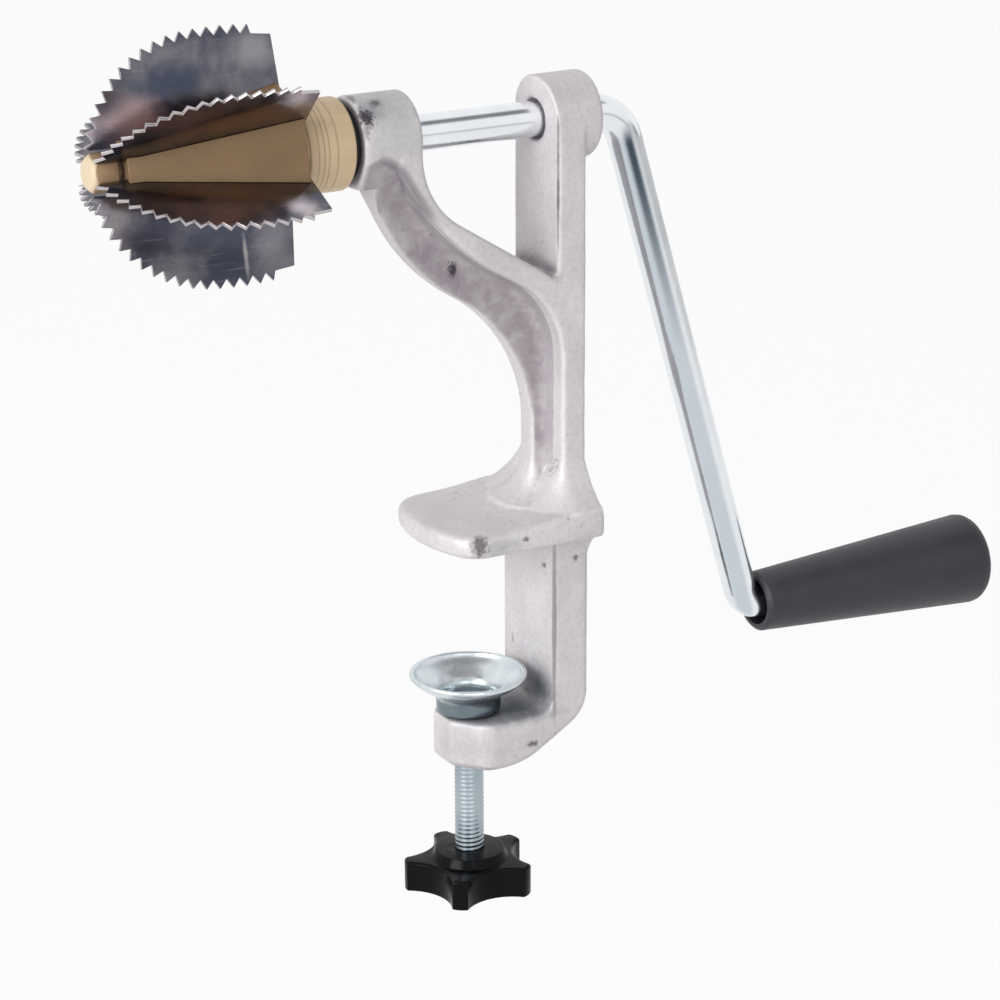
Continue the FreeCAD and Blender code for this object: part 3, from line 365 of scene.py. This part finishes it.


# painted reflections on the blades, of the hub's brown and of dark and pale surroundings: place and reach
# in millimetres, and their colour
REFLECTION_PATCHES = (
    ((-73.0, -16.0, 123.0), (30.0, 16.0, 13.0), (0.330, 0.225, 0.180)),
    ((-76.0, -18.0, 103.0), (26.0, 15.0, 5.5), (0.290, 0.200, 0.165)),
    ((-90.0, 2.0, 119.0), (15.0, 6.0, 9.0), (0.500, 0.350, 0.360)),
    ((-98.0, 2.7, 125.5), (9.0, 6.0, 6.5), (0.060, 0.050, 0.056)),
    ((-78.0, 3.4, 128.5), (14.0, 5.0, 6.5), (0.050, 0.062, 0.098)),
    ((-56.5, 4.4, 134.0), (8.0, 5.0, 8.0), (0.300, 0.285, 0.300)),
    ((-58.5, -24.5, 100.2), (5.5, 6.5, 4.0), (0.620, 0.560, 0.590)),
    ((-57.0, -21.0, 127.5), (5.0, 6.5, 6.0), (0.560, 0.500, 0.520)),
    ((-79.0, -25.0, 100.0), (9.0, 5.5, 3.0), (0.300, 0.190, 0.170)),
    ((-92.0, -14.0, 104.0), (11.0, 9.0, 4.5), (0.260, 0.160, 0.115)),
    ((-90.0, -3.2, 92.0), (12.0, 5.0, 9.0), (0.046, 0.042, 0.062)),
    ((-57.0, -4.4, 84.5), (8.0, 5.0, 9.0), (0.260, 0.245, 0.275)),
    ((-64.3, -4.4, 85.0), (0.9, 5.0, 7.5), (0.500, 0.480, 0.490)),
)


def polished_blade():
    """Stainless sheet, ground and polished, with bright cut edges; its faces carry painted reflections:
    dark and warm clouds, patches of the hub's brown and of dark and pale surroundings, and painted shade
    in the hollows.
    """
    s = Shader("polished_blade")
    reflection_cloud = s.noise(70.0, 4.0, 0.6, 0.3)
    warm_reflection_cloud = s.noise(42.0, 2.0, 0.5, 0.5)
    lines = s.noise(1400.0, 2.0, 0.5, place=s.scaled((0.08, 1.0, 1.0)))
    # painted reflection: the faces' dark, cloudy colour stands for the dark surroundings they mirror
    color = s.mix(s.ramp(reflection_cloud, 0.34, 0.68), (0.072, 0.076, 0.106), (0.205, 0.195, 0.215))
    # painted reflection: warm clouds, as of the tan hub mirrored
    color = s.mix(s.ramp(warm_reflection_cloud, 0.55, 0.68, 0.0, 0.30), color, (0.340, 0.280, 0.280))
    # painted reflections in patches
    for centre, radii, tone in REFLECTION_PATCHES:
        patch = s.near(in_mm(centre), in_mm(radii), 0.9, 160.0, 0.1)
        color = s.mix(s.times(patch, 0.85), color, tone)
    color = s.mix(s.ramp(lines, 0.60, 0.80, 0.0, 0.15), color, (0.500, 0.480, 0.500))
    # painted shade and brown reflection of the hub, in the hollows
    color = s.mix(s.ramp(s.hollows(4.0 * MM), 0.25, 0.85, 0.75, 0.0), color, (0.080, 0.046, 0.032))
    rise = s.math("SUBTRACT", s.axis("Z"), SHAFT_Z)
    radius = s.math("SQRT", s.math("ADD", s.math("POWER", s.axis("Y"), 2.0), s.math("POWER", rise, 2.0)))
    flat = s.math("SUBTRACT", s.times(s.axis("Y", s.facing), rise),
                  s.times(s.axis("Z", s.facing), s.axis("Y")))
    flat = s.math("ABSOLUTE", s.math("DIVIDE", flat, radius))
    color = s.mix(s.ramp(flat, 0.35, 0.75, 0.9, 0.0), color, (0.560, 0.520, 0.530))
    rough = s.math("ADD", s.ramp(reflection_cloud, 0.3, 0.7, 0.14, 0.24), s.ramp(lines, 0.4, 0.8, 0.0, 0.06))
    s.set(color=color, metallic=1.0, roughness=rough, normal=s.bump(lines, 0.01 * MM, 0.35))
    return s.mat


def tan_moulding(name, light, dark, rough_low, rough_high, hollow_shade_depth=0.55, rings=(),
                 pale_before=None, dark_after=None):
    """Tan moulded plastic with flow marks, tiny specks and rubbed, slightly greasy patches; painted shade
    in its hollows and at the nose's back end, and a painted highlight on the nose's front face.
    """
    s = Shader(name)
    flow = s.noise(60.0, 4.0, 0.6, 1.2, place=s.scaled((0.35, 1.0, 1.0)))
    fine = s.noise(700.0, 3.0, 0.55)
    specks = s.ramp(s.cells(420.0), 0.05, 0.12, 1.0, 0.0)
    where = s.ramp(s.noise(90.0, 2.0), 0.58, 0.68)
    color = s.mix(s.ramp(flow, 0.3, 0.7), dark, light)
    color = s.mix(s.times(specks, where, 0.7), color, (0.10, 0.07, 0.04))
    # painted shade: the colour darkens in hollows, from an ambient occlusion mask
    color = s.mix(s.ramp(s.hollows(6.0 * MM), 0.3, 0.9, hollow_shade_depth, 0.0), color, (0.050, 0.027, 0.014))
    relief = s.math("ADD", fine, flow)
    if dark_after is not None:
        shade = s.ramp(s.axis("X"), dark_after - 1.0 * MM, dark_after, 0.0, 0.85)
        color = s.mix(shade, color, (0.020, 0.010, 0.006))
    if pale_before is not None:
        # painted highlight: the nose's front face is paler, where the light falls on it
        front_highlight = s.ramp(s.axis("X"), pale_before, pale_before + 1.2 * MM, 0.75, 0.0)
        color = s.mix(front_highlight, color, (0.760, 0.640, 0.460))
    for place in rings:
        ring = s.ramp(s.off(s.axis("X"), place), 0.08 * MM, 0.34 * MM, 1.0, 0.0)
        color = s.mix(s.times(ring, 0.38), color, (0.200, 0.135, 0.080))
        relief = s.math("SUBTRACT", relief, s.times(ring, 3.0))
    rough = s.ramp(flow, 0.3, 0.7, rough_low, rough_high)
    s.set(color=color, metallic=0.0, roughness=rough, specular=0.35, normal=s.bump(relief, 0.05 * MM, 0.5))
    return s.mat


def zinc(name, dark, light, rough_low, rough_high):
    """Bright zinc plating, faintly cloudy, with painted shade in its hollows and painted shade and
    reflection darkening the cup's neck.
    """
    s = Shader(name)
    patch = s.noise(110.0, 3.0, 0.5, 0.5)
    cloud = s.noise(60.0, 2.0, 0.5)
    color = s.mix(s.ramp(patch, 0.3, 0.7), dark, light)
    color = s.mix(s.ramp(cloud, 0.35, 0.7, 0.0, 0.3), color, dark)
    # painted shade: the colour darkens in hollows, from an ambient occlusion mask
    color = s.mix(s.ramp(s.hollows(8.0 * MM), 0.2, 0.9, 0.6, 0.0), color, (0.150, 0.200, 0.230))
    low = s.math("ADD", s.axis("Z"), s.times(s.math("SUBTRACT", patch, 0.5), 3 * MM))
    squares = s.math("ADD", s.math("POWER", s.axis("X"), 2.0), s.math("POWER", s.axis("Y"), 2.0))
    radius = s.math("SQRT", squares)
    # painted shade and reflection: the cup's outer neck is darker
    neck_shade_and_reflection = s.times(s.ramp(low, CUP_NECK_Z, CUP_NECK_Z + 2.5 * MM, 1.0, 0.0),
                      s.ramp(s.axis("Z"), DISH_LOW.z - 0.3 * MM, DISH_LOW.z),
                      s.ramp(radius, 8.0 * MM, 8.5 * MM))
    color = s.mix(s.times(neck_shade_and_reflection, 0.80), color, (0.060, 0.098, 0.125))
    rough = s.ramp(patch, 0.3, 0.7, rough_low, rough_high)
    s.set(color=color, metallic=1.0, roughness=rough, normal=s.bump(patch, 0.01 * MM, 0.3))
    return s.mat


def satin_grip():
    """Charcoal moulded plastic with a fine spark-eroded skin, polished by hands in patches."""
    s = Shader("satin_grip")
    skin = s.noise(1900.0, 2.0, 0.5)
    wear = s.noise(45.0, 3.0, 0.6, 0.5)
    color = s.mix(s.ramp(wear, 0.3, 0.75), (0.019, 0.017, 0.026), (0.033, 0.030, 0.041))
    s.set(color=color, metallic=0.0, roughness=s.ramp(wear, 0.3, 0.7, 0.40, 0.52), specular=0.5,
          normal=s.bump(skin, 0.03 * MM, 0.35))
    return s.mat


def gloss_knob():
    """Glossy black moulding with slight sink waves and dust."""
    s = Shader("gloss_knob")
    waves = s.noise(120.0, 2.0, 0.5)
    dust = s.ramp(s.noise(1500.0, 2.0), 0.66, 0.74)
    color = s.mix(s.times(dust, 0.25), (0.0045, 0.0045, 0.0055), (0.05, 0.05, 0.055))
    s.set(color=color, metallic=0.0, roughness=s.ramp(waves, 0.3, 0.7, 0.16, 0.26), specular=0.08,
          normal=s.bump(waves, 0.06 * MM, 0.4))
    return s.mat


def dark_steel(name, light, dark):
    """Plain steel with darker stains, for the washer, the push nut and the hex nut; the washer's is near
    black, as painted shade of the gap it sits in.
    """
    s = Shader(name)
    patch_mask = s.noise(200.0, 4.0, 0.6, 0.6)
    s.set(color=s.mix(s.ramp(patch_mask, 0.3, 0.7), dark, light), metallic=0.8,
          roughness=s.ramp(patch_mask, 0.3, 0.7, 0.35, 0.55), normal=s.bump(patch_mask, 0.03 * MM, 0.4))
    return s.mat


# ------------------------------------------------------------------ mesh helpers
def link(obj):
    bpy.context.scene.collection.objects.link(obj)
    return obj


def dress(obj, material):
    obj.data.materials.clear()
    obj.data.materials.append(material)


def applied(obj):
    """The object's mesh with its modifiers worked in."""
    deps = bpy.context.evaluated_depsgraph_get()
    mesh = bpy.data.meshes.new_from_object(obj.evaluated_get(deps))
    obj.modifiers.clear()
    obj.data = mesh
    return obj


def copy_of(node, name):
    """Copy of a CAD node's mesh with its seams welded."""
    mesh = NODES[node].data.copy()
    obj = link(bpy.data.objects.new(name, mesh))
    bm = bmesh.new()
    bm.from_mesh(mesh)
    bmesh.ops.remove_doubles(bm, verts=bm.verts, dist=2e-6)
    bm.to_mesh(mesh)
    bm.free()
    if mesh.attributes.get("custom_normal"):
        mesh.attributes.remove(mesh.attributes["custom_normal"])
    return obj


def stand_for(obj, node, body, material):
    """Puts a finished piece in the place of a CAD node, on that node's body."""
    dress(obj, material)
    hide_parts(node)
    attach(obj, body)


def edged(node, width, segments=2, angle=28.0, merge=0.6):
    """Copy of a node with every sharp edge broken by a small round."""
    obj = copy_of(node, node + "_skin")
    bm = bmesh.new()
    bm.from_mesh(obj.data)
    bmesh.ops.dissolve_limit(bm, angle_limit=math.radians(merge), verts=bm.verts, edges=bm.edges)
    bm.to_mesh(obj.data)
    bm.free()
    mod = obj.modifiers.new("edge", "BEVEL")
    mod.width = width
    mod.segments = segments
    mod.limit_method = "ANGLE"
    mod.angle_limit = math.radians(angle)
    mod.use_clamp_overlap = True
    applied(obj)
    obj.data.shade_smooth()
    obj.data.set_sharp_from_angle(angle=math.radians(angle + 12))
    return obj


def mesh_object(name, verts, faces):
    mesh = bpy.data.meshes.new(name)
    mesh.from_pydata(verts, [], faces)
    mesh.update()
    mesh.shade_smooth()
    return link(bpy.data.objects.new(name, mesh))


def lathe(name, profile, steps):
    """Surface of revolution about Z. profile: (radius, height); poles have radius 0."""
    verts, faces = [], []
    rows = []
    for radius, height in profile:
        count = 1 if radius < 1e-7 else steps
        rows.append(range(len(verts), len(verts) + count))
        for i in range(count):
            a = 2 * math.pi * i / steps
            verts.append((radius * math.cos(a), radius * math.sin(a), height))
    for low, high in zip(rows[:-1], rows[1:]):
        for i in range(steps):
            j = (i + 1) % steps
            corners = (low[i % len(low)], low[j % len(low)], high[j % len(high)], high[i % len(high)])
            face = list(dict.fromkeys(corners))
            if len(face) > 2:
                faces.append(face)
    return mesh_object(name, verts, faces)


def rounded(points, amount, rounds=2):
    """Softens the corners of an open profile by cutting them off, once in each round."""
    for _ in range(rounds):
        out = [points[0]]
        for a, b in zip(points[:-1], points[1:]):
            out.append((a[0] + (b[0] - a[0]) * amount, a[1] + (b[1] - a[1]) * amount))
            out.append((b[0] + (a[0] - b[0]) * amount, b[1] + (a[1] - b[1]) * amount))
        out.append(points[-1])
        points = out
    return points


# ------------------------------------------------------------------ pieces
def boss_flow(p):
    """Lets the lower half of the front boss slope down into the web, in front of the flange."""
    fall = SHAFT_Z - p.z
    room = EDGE_X + EDGE_SLOPE * (EDGE_Z - p.z) - p.x
    if room < 0 or not FLOW_START < fall < FLOW_END:
        return p
    top = math.sqrt(BOSS_RADIUS ** 2 - FLOW_START ** 2)
    target = top + (WEB_HALF - top) * (fall - FLOW_START) / (FLOW_END - FLOW_START)
    width = abs(p.y)
    if width >= target:
        return p
    half = math.sqrt(max(BOSS_RADIUS ** 2 - fall ** 2, WEB_HALF ** 2))
    width += (min(width * target / half, target) - width) * min(room / FLOW_FADE, 1.0)
    return Vector((p.x, math.copysign(width, p.y), p.z))


SKIN_GRID = 0.42 * MM
SKIN_SMOOTHING = 6
SHAFT_BORE = ROD_RADIUS + 0.16 * MM
SCREW_BORE = 4.15 * MM
SCREW_BORE_REACH = 4.6 * MM
LOWER_ARM_Z = -40 * MM


def skin_point(p, n):
    """Where a point of the casting goes: bores stay open, the face on the table stays flat."""
    from_shaft = Vector((p.y, p.z - SHAFT_Z)).length
    from_screw = Vector((p.x, p.y)).length
    if from_shaft < SHAFT_BORE + 0.5 * MM:
        k = max(1.0, SHAFT_BORE / max(from_shaft, 1e-6))
        return Vector((p.x, p.y * k, SHAFT_Z + (p.z - SHAFT_Z) * k))
    if from_screw < SCREW_BORE_REACH and p.z < LOWER_ARM_Z:
        k = max(1.0, SCREW_BORE / max(from_screw, 1e-6))
        return Vector((p.x * k, p.y * k, p.z))
    if abs(p.z) < 0.4 * MM:
        return p
    wave = noise.noise(p * 55.0) * 0.10 + noise.noise(p * 190.0) * 0.055
    grit = noise.noise(p * 620.0) * 0.022
    return boss_flow(p) + n * (wave + grit - 0.06) * MM


def casting_skin():
    """The casting with the soft edges and slightly uneven faces of a sand casting."""
    obj = copy_of("frame_casting", "casting_skin")
    remesh = obj.modifiers.new("grid", "REMESH")
    remesh.mode = "VOXEL"
    remesh.voxel_size = SKIN_GRID
    applied(obj)
    smooth = obj.modifiers.new("soft", "SMOOTH")
    smooth.factor = 0.5
    smooth.iterations = SKIN_SMOOTHING
    applied(obj)
    mesh = obj.data
    normals = [v.normal.copy() for v in mesh.vertices]
    for v, n in zip(mesh.vertices, normals):
        v.co = skin_point(v.co, n)
    mesh.update()
    mesh.shade_smooth()
    return obj


PITCH = 1.25 * MM
THREAD_CREST = 3.97 * MM
THREAD_ROOT = 3.80 * MM
THREAD_STEPS = 40
# one pitch of the thread: height as a share of the pitch, and radius
THREAD_PROFILE = ((0.0, THREAD_ROOT), (0.10, THREAD_ROOT), (0.42, THREAD_CREST), (0.55, THREAD_CREST),
                  (0.90, THREAD_ROOT))
SCREW_NECK_Z = DISH_LOW.z - 0.05 * MM
SCREW_NECK_RADIUS = 2.88 * MM
SCREW_HEAD_H = 1.6 * MM


def screw_thread():
    """The helical thread, which runs out at the screw's lower end."""
    z0 = SCREW_LOW.z
    sunk = THREAD_ROOT - 0.5 * MM
    turns = int((SCREW_NECK_Z - z0) / PITCH) + 1
    columns = turns * THREAD_STEPS + 1
    width = len(THREAD_PROFILE)
    verts, faces = [], []
    for c in range(columns):
        a = 2 * math.pi * c / THREAD_STEPS
        base = z0 + PITCH * (c / THREAD_STEPS) - PITCH * 0.5
        for share, r in THREAD_PROFILE:
            z = base + share * PITCH
            run = min(1.0, max(0.25, (z - z0) / (0.8 * PITCH)))
            radius = sunk + (r - sunk) * run
            z = min(max(z, z0 + 0.02 * MM), SCREW_NECK_Z)
            verts.append((radius * math.cos(a), radius * math.sin(a), z))
    for c in range(columns - 1):
        for k in range(width - 1):
            i = c * width + k
            faces.append((i, i + width, i + width + 1, i + 1))
        up = (c + THREAD_STEPS) * width
        if c + THREAD_STEPS + 1 < columns:
            i = c * width + width - 1
            faces.append((i, i + width, up + width, up))
    return mesh_object("thread", verts, faces)


def screw_core():
    """What the thread winds around: core, plain neck and peened end."""
    z0 = SCREW_LOW.z
    core = THREAD_ROOT - 0.02 * MM
    neck = SCREW_NECK_RADIUS
    head = SCREW_HIGH.z
    top = head - SCREW_HEAD_H
    outline = [(0.0, z0), (core - 0.3 * MM, z0), (core, z0 + 0.3 * MM), (core, SCREW_NECK_Z - 0.3 * MM),
               (neck, SCREW_NECK_Z - 0.25 * MM), (neck, top + 0.05 * MM)]
    button = [(neck, top + 0.06 * MM), (neck + 1.45 * MM, top + 0.08 * MM),
              (neck + 1.5 * MM, top + 0.5 * MM), (neck + 0.9 * MM, top + 1.15 * MM),
              (neck - 0.6 * MM, top + 1.5 * MM), (0.0, head)]
    return lathe("screw_core", outline + rounded(button, 0.3), 64)


def threaded_screw():
    """M8 screw with its helical thread, plain neck and peened end in the cup."""
    return joined("clamp_screw_skin", [screw_thread(), screw_core()])


def joined(name, parts):
    """One object made of several, whose own objects are removed."""
    bm = bmesh.new()
    for part in parts:
        bm.from_mesh(part.data)
        bpy.data.objects.remove(part)
    mesh = bpy.data.meshes.new(name)
    bm.to_mesh(mesh)
    bm.free()
    mesh.shade_smooth()
    mesh.set_sharp_from_angle(angle=math.radians(50))
    return link(bpy.data.objects.new(name, mesh))


# the cup's walls between neck and rim: radius and height above the base, in millimetres
CUP_WALL = 0.9 * MM
CUP_HOLE = 2.97 * MM
CUP_NECK = 8.7 * MM
CUP_OUTSIDE = ((8.70, 3.65), (9.56, 5.03), (11.27, 6.23), (13.48, 7.55), (14.91, 8.75))
CUP_INSIDE = ((14.20, 9.45), (12.98, 8.30), (10.77, 6.98), (8.86, 5.66), (7.83, 3.90))


def pressed_cup():
    """Pressed cup with a rolled rim and soft bends: straight neck, flaring wall, flat base."""
    rim = DISH_HIGH.z
    base = DISH_LOW.z
    r = (DISH_HIGH.x - DISH_LOW.x) / 2
    inner = CUP_NECK - CUP_WALL
    bend = 0.6 * MM
    outline = [(CUP_HOLE, base), (CUP_NECK - bend, base), (CUP_NECK, base + bend)]
    outline += [(a * MM, base + b * MM) for a, b in CUP_OUTSIDE]
    outline += [(r - 0.05 * MM, rim - CUP_WALL), (r, rim - 0.5 * MM), (r - 0.15 * MM, rim - 0.05 * MM),
                (r - 0.4 * MM, rim), (r - 1.2 * MM, rim)]
    outline += [(a * MM, base + b * MM) for a, b in CUP_INSIDE]
    outline += [(inner, base + 1.6 * MM), (inner - bend, base + CUP_WALL), (CUP_HOLE, base + CUP_WALL),
                (CUP_HOLE, base)]
    return lathe("clamp_cup_skin", rounded(outline, 0.25), 128)


# ------------------------------------------------------------------ dressing the model
MAT_CAST = cast_aluminium()
MAT_ROD = plated_rod()
MAT_BLADE = polished_blade()
# the hub's tan is a darker copy of the collar's: painted shade from the blades around it
MAT_TAN_HUB_SHADED = tan_moulding("tan_moulding", (0.266, 0.172, 0.090), (0.208, 0.131, 0.067), 0.38, 0.52)
COLLAR_LINES = [COLLAR_LOW.x + place * MM for place in (4.3, 5.9, 7.2, 9.6)]
MAT_COLLAR = tan_moulding("tan_collar", (0.720, 0.550, 0.360), (0.600, 0.440, 0.270), 0.34, 0.46,
                          rings=COLLAR_LINES)
MAT_NOSE = tan_moulding("nose_moulding", (0.410, 0.265, 0.150), (0.300, 0.186, 0.100), 0.35, 0.50,
                        hollow_shade_depth=0.95,
                        pale_before=NOSE_LOW.x + 0.3 * MM, dark_after=NOSE_HIGH.x - 0.3 * MM)
MAT_ZINC = zinc("zinc_plate", (0.340, 0.405, 0.450), (0.440, 0.500, 0.540), 0.26, 0.34)
MAT_CUP = zinc("zinc_cup", (0.600, 0.665, 0.700), (0.770, 0.810, 0.830), 0.22, 0.30)
MAT_GRIP = satin_grip()
MAT_KNOB = gloss_knob()
# painted shade: the washer is near black, standing for the dark gap between collar and boss
MAT_WASHER_GAP_SHADE = dark_steel("washer_gap_shade", (0.030, 0.028, 0.028), (0.015, 0.014, 0.014))
MAT_CLIP = dark_steel("clip_steel", (0.420, 0.410, 0.400), (0.250, 0.240, 0.235))

stand_for(casting_skin(), "frame_casting", "frame", MAT_CAST)
stand_for(threaded_screw(), "clamp_screw", "screw", MAT_ZINC)
stand_for(pressed_cup(), "clamp_dish", "cup", MAT_CUP)
for number in range(1, 7):
    blade = "blade_" + str(number)
    stand_for(edged(blade, 0.14 * MM, 2), blade, "crank", MAT_BLADE)
stand_for(edged("blade_hub", 0.35 * MM, 3), "blade_hub", "crank", MAT_TAN_HUB_SHADED)
stand_for(edged("hub_collar", 0.25 * MM, 3), "hub_collar", "crank", MAT_COLLAR)
stand_for(edged("nose_cap", 0.25 * MM, 3), "nose_cap", "crank", MAT_NOSE)
stand_for(edged("knob", 0.55 * MM, 4, 35.0), "knob", "screw", MAT_KNOB)
# these keep their CAD shape
for node, material in (("crank_rod", MAT_ROD), ("thrust_washer", MAT_WASHER_GAP_SHADE), ("grip", MAT_GRIP),
                       ("grip_end_cap", MAT_GRIP), ("grip_push_nut", MAT_CLIP), ("knob_nut", MAT_CLIP)):
    dress(NODES[node], material)


# ------------------------------------------------------------------ stage, light and camera
FLOOR_Z = -0.150
FLOOR_HALF = 6


def floor():
    """Pale floor that the camera sees as near white, and polished metal only up close."""
    corners = [(x * FLOOR_HALF, y * FLOOR_HALF, FLOOR_Z) for x, y in ((-1, -1), (1, -1), (1, 1), (-1, 1))]
    obj = mesh_object("floor", corners, [(0, 1, 2, 3)])
    s = Shader("white_floor")
    s.set(color=(0.90, 0.90, 0.90), roughness=0.9, specular=0.1)
    glow = s.nodes.new("ShaderNodeEmission")
    glow.inputs["Strength"].default_value = 1.0
    path = s.nodes.new("ShaderNodeLightPath")
    away = s.nodes.new("ShaderNodeVectorMath")
    away.operation = "LENGTH"
    s.links.new(s.place, away.inputs[0])
    mirrored = s.math("MAXIMUM", path.outputs["Is Glossy Ray"], path.outputs["Is Transmission Ray"])
    mirrored = s.times(mirrored, s.ramp(away.outputs["Value"], 1.0, 1.7, 1.0, 0.35))
    seen = s.times(s.math("MAXIMUM", path.outputs["Is Camera Ray"], mirrored), 0.93)
    both = s.nodes.new("ShaderNodeMixShader")
    s.links.new(seen, both.inputs[0])
    s.links.new(s.bsdf.outputs[0], both.inputs[1])
    s.links.new(glow.outputs[0], both.inputs[2])
    s.links.new(both.outputs[0], s.nodes["Material Output"].inputs["Surface"])
    dress(obj, s.mat)


# name, place, disc's diameter in metres, watts
LAMPS = (
    ("key", (-1.30, -0.42, 0.50), 0.9, 15.5),
    ("top", (-0.25, 0.10, 1.30), 0.9, 1.2),
    ("fill", (-0.40, -1.45, 0.30), 1.0, 3.2),
)
LAMP_AIM = Vector((0.0, 0.0, 0.02))


def lamp(name, place, size, power):
    data = bpy.data.lights.new(name, "AREA")
    data.shape = "DISK"
    data.size = size
    data.energy = power
    obj = link(bpy.data.objects.new(name, data))
    obj.location = place
    obj.rotation_euler = (LAMP_AIM - Vector(place)).to_track_quat("-Z", "Y").to_euler()


WORLD_LEVEL = 0.38
DIM_COLOUR = (0.020, 0.030, 0.050, 1.0)
# direction, full-dark half angle, edge half angle (degrees), depth
DIM_SIDES = (
    ((0.90, -0.40, -0.19), 6.0, 20.0, 0.97),
    ((0.47, -0.30, 0.82), 7.0, 18.0, 0.80),
)


def world():
    """White surroundings, with the dim side of a studio that only polished metal shows."""
    w = bpy.data.worlds.new("studio")
    bpy.context.scene.world = w
    w.use_nodes = True
    tree = w.node_tree
    nodes, links = tree.nodes, tree.links
    back = nodes["Background"]
    path = nodes.new("ShaderNodeLightPath")
    coord = nodes.new("ShaderNodeTexCoord")

    def math_node(operation, a, b):
        n = nodes.new("ShaderNodeMath")
        n.operation = operation
        for value, socket in ((a, n.inputs[0]), (b, n.inputs[1])):
            if isinstance(value, bpy.types.NodeSocket):
                links.new(value, socket)
            else:
                socket.default_value = value
        return n.outputs[0]

    dim = None
    for direction, inner, outer, depth in DIM_SIDES:
        dot = nodes.new("ShaderNodeVectorMath")
        dot.operation = "DOT_PRODUCT"
        links.new(coord.outputs["Generated"], dot.inputs[0])
        dot.inputs[1].default_value = Vector(direction).normalized()
        fall = nodes.new("ShaderNodeMapRange")
        fall.interpolation_type = "SMOOTHSTEP"
        links.new(dot.outputs["Value"], fall.inputs["Value"])
        fall.inputs["From Min"].default_value = math.cos(math.radians(outer))
        fall.inputs["From Max"].default_value = math.cos(math.radians(inner))
        fall.inputs["To Max"].default_value = depth
        part = fall.outputs["Result"]
        dim = part if dim is None else math_node("MAXIMUM", dim, part)
    glossy = math_node("MULTIPLY", dim, path.outputs["Is Glossy Ray"])
    tint = nodes.new("ShaderNodeMix")
    tint.data_type = "RGBA"
    links.new(glossy, tint.inputs[0])
    tint.inputs[6].default_value = (1.0, 1.0, 1.0, 1.0)
    tint.inputs[7].default_value = DIM_COLOUR
    links.new(tint.outputs[2], back.inputs["Color"])
    plain = math_node("MAXIMUM", path.outputs["Is Camera Ray"], path.outputs["Is Glossy Ray"])
    plain = math_node("MAXIMUM", plain, path.outputs["Is Transmission Ray"])
    level = math_node("ADD", math_node("MULTIPLY", plain, 1.0 - WORLD_LEVEL), WORLD_LEVEL)
    links.new(level, back.inputs["Strength"])


CAMERA_PLACE = Vector((-0.40812, -0.73688, 0.29196))
CAMERA_AIM = Vector((0.010, 0.0, 0.00762))
CAMERA_ROLL = -0.26
CAMERA_LENS = 121.63


def camera():
    """Camera at the photograph's viewing angle."""
    data = bpy.data.cameras.new("camera")
    data.sensor_width = 36.0
    data.lens = CAMERA_LENS
    data.clip_start = 0.01
    data.clip_end = 50.0
    obj = link(bpy.data.objects.new("camera", data))
    look = (CAMERA_AIM - CAMERA_PLACE).to_track_quat("-Z", "Y").to_matrix().to_4x4()
    roll = Matrix.Rotation(math.radians(CAMERA_ROLL), 4, "Z")
    obj.matrix_world = Matrix.Translation(CAMERA_PLACE) @ look @ roll
    bpy.context.scene.camera = obj


floor()
world()
for lamp_name, lamp_place, lamp_size, lamp_power in LAMPS:
    lamp(lamp_name, lamp_place, lamp_size, lamp_power)
camera()
bpy.context.scene.view_settings.view_transform = "Standard"
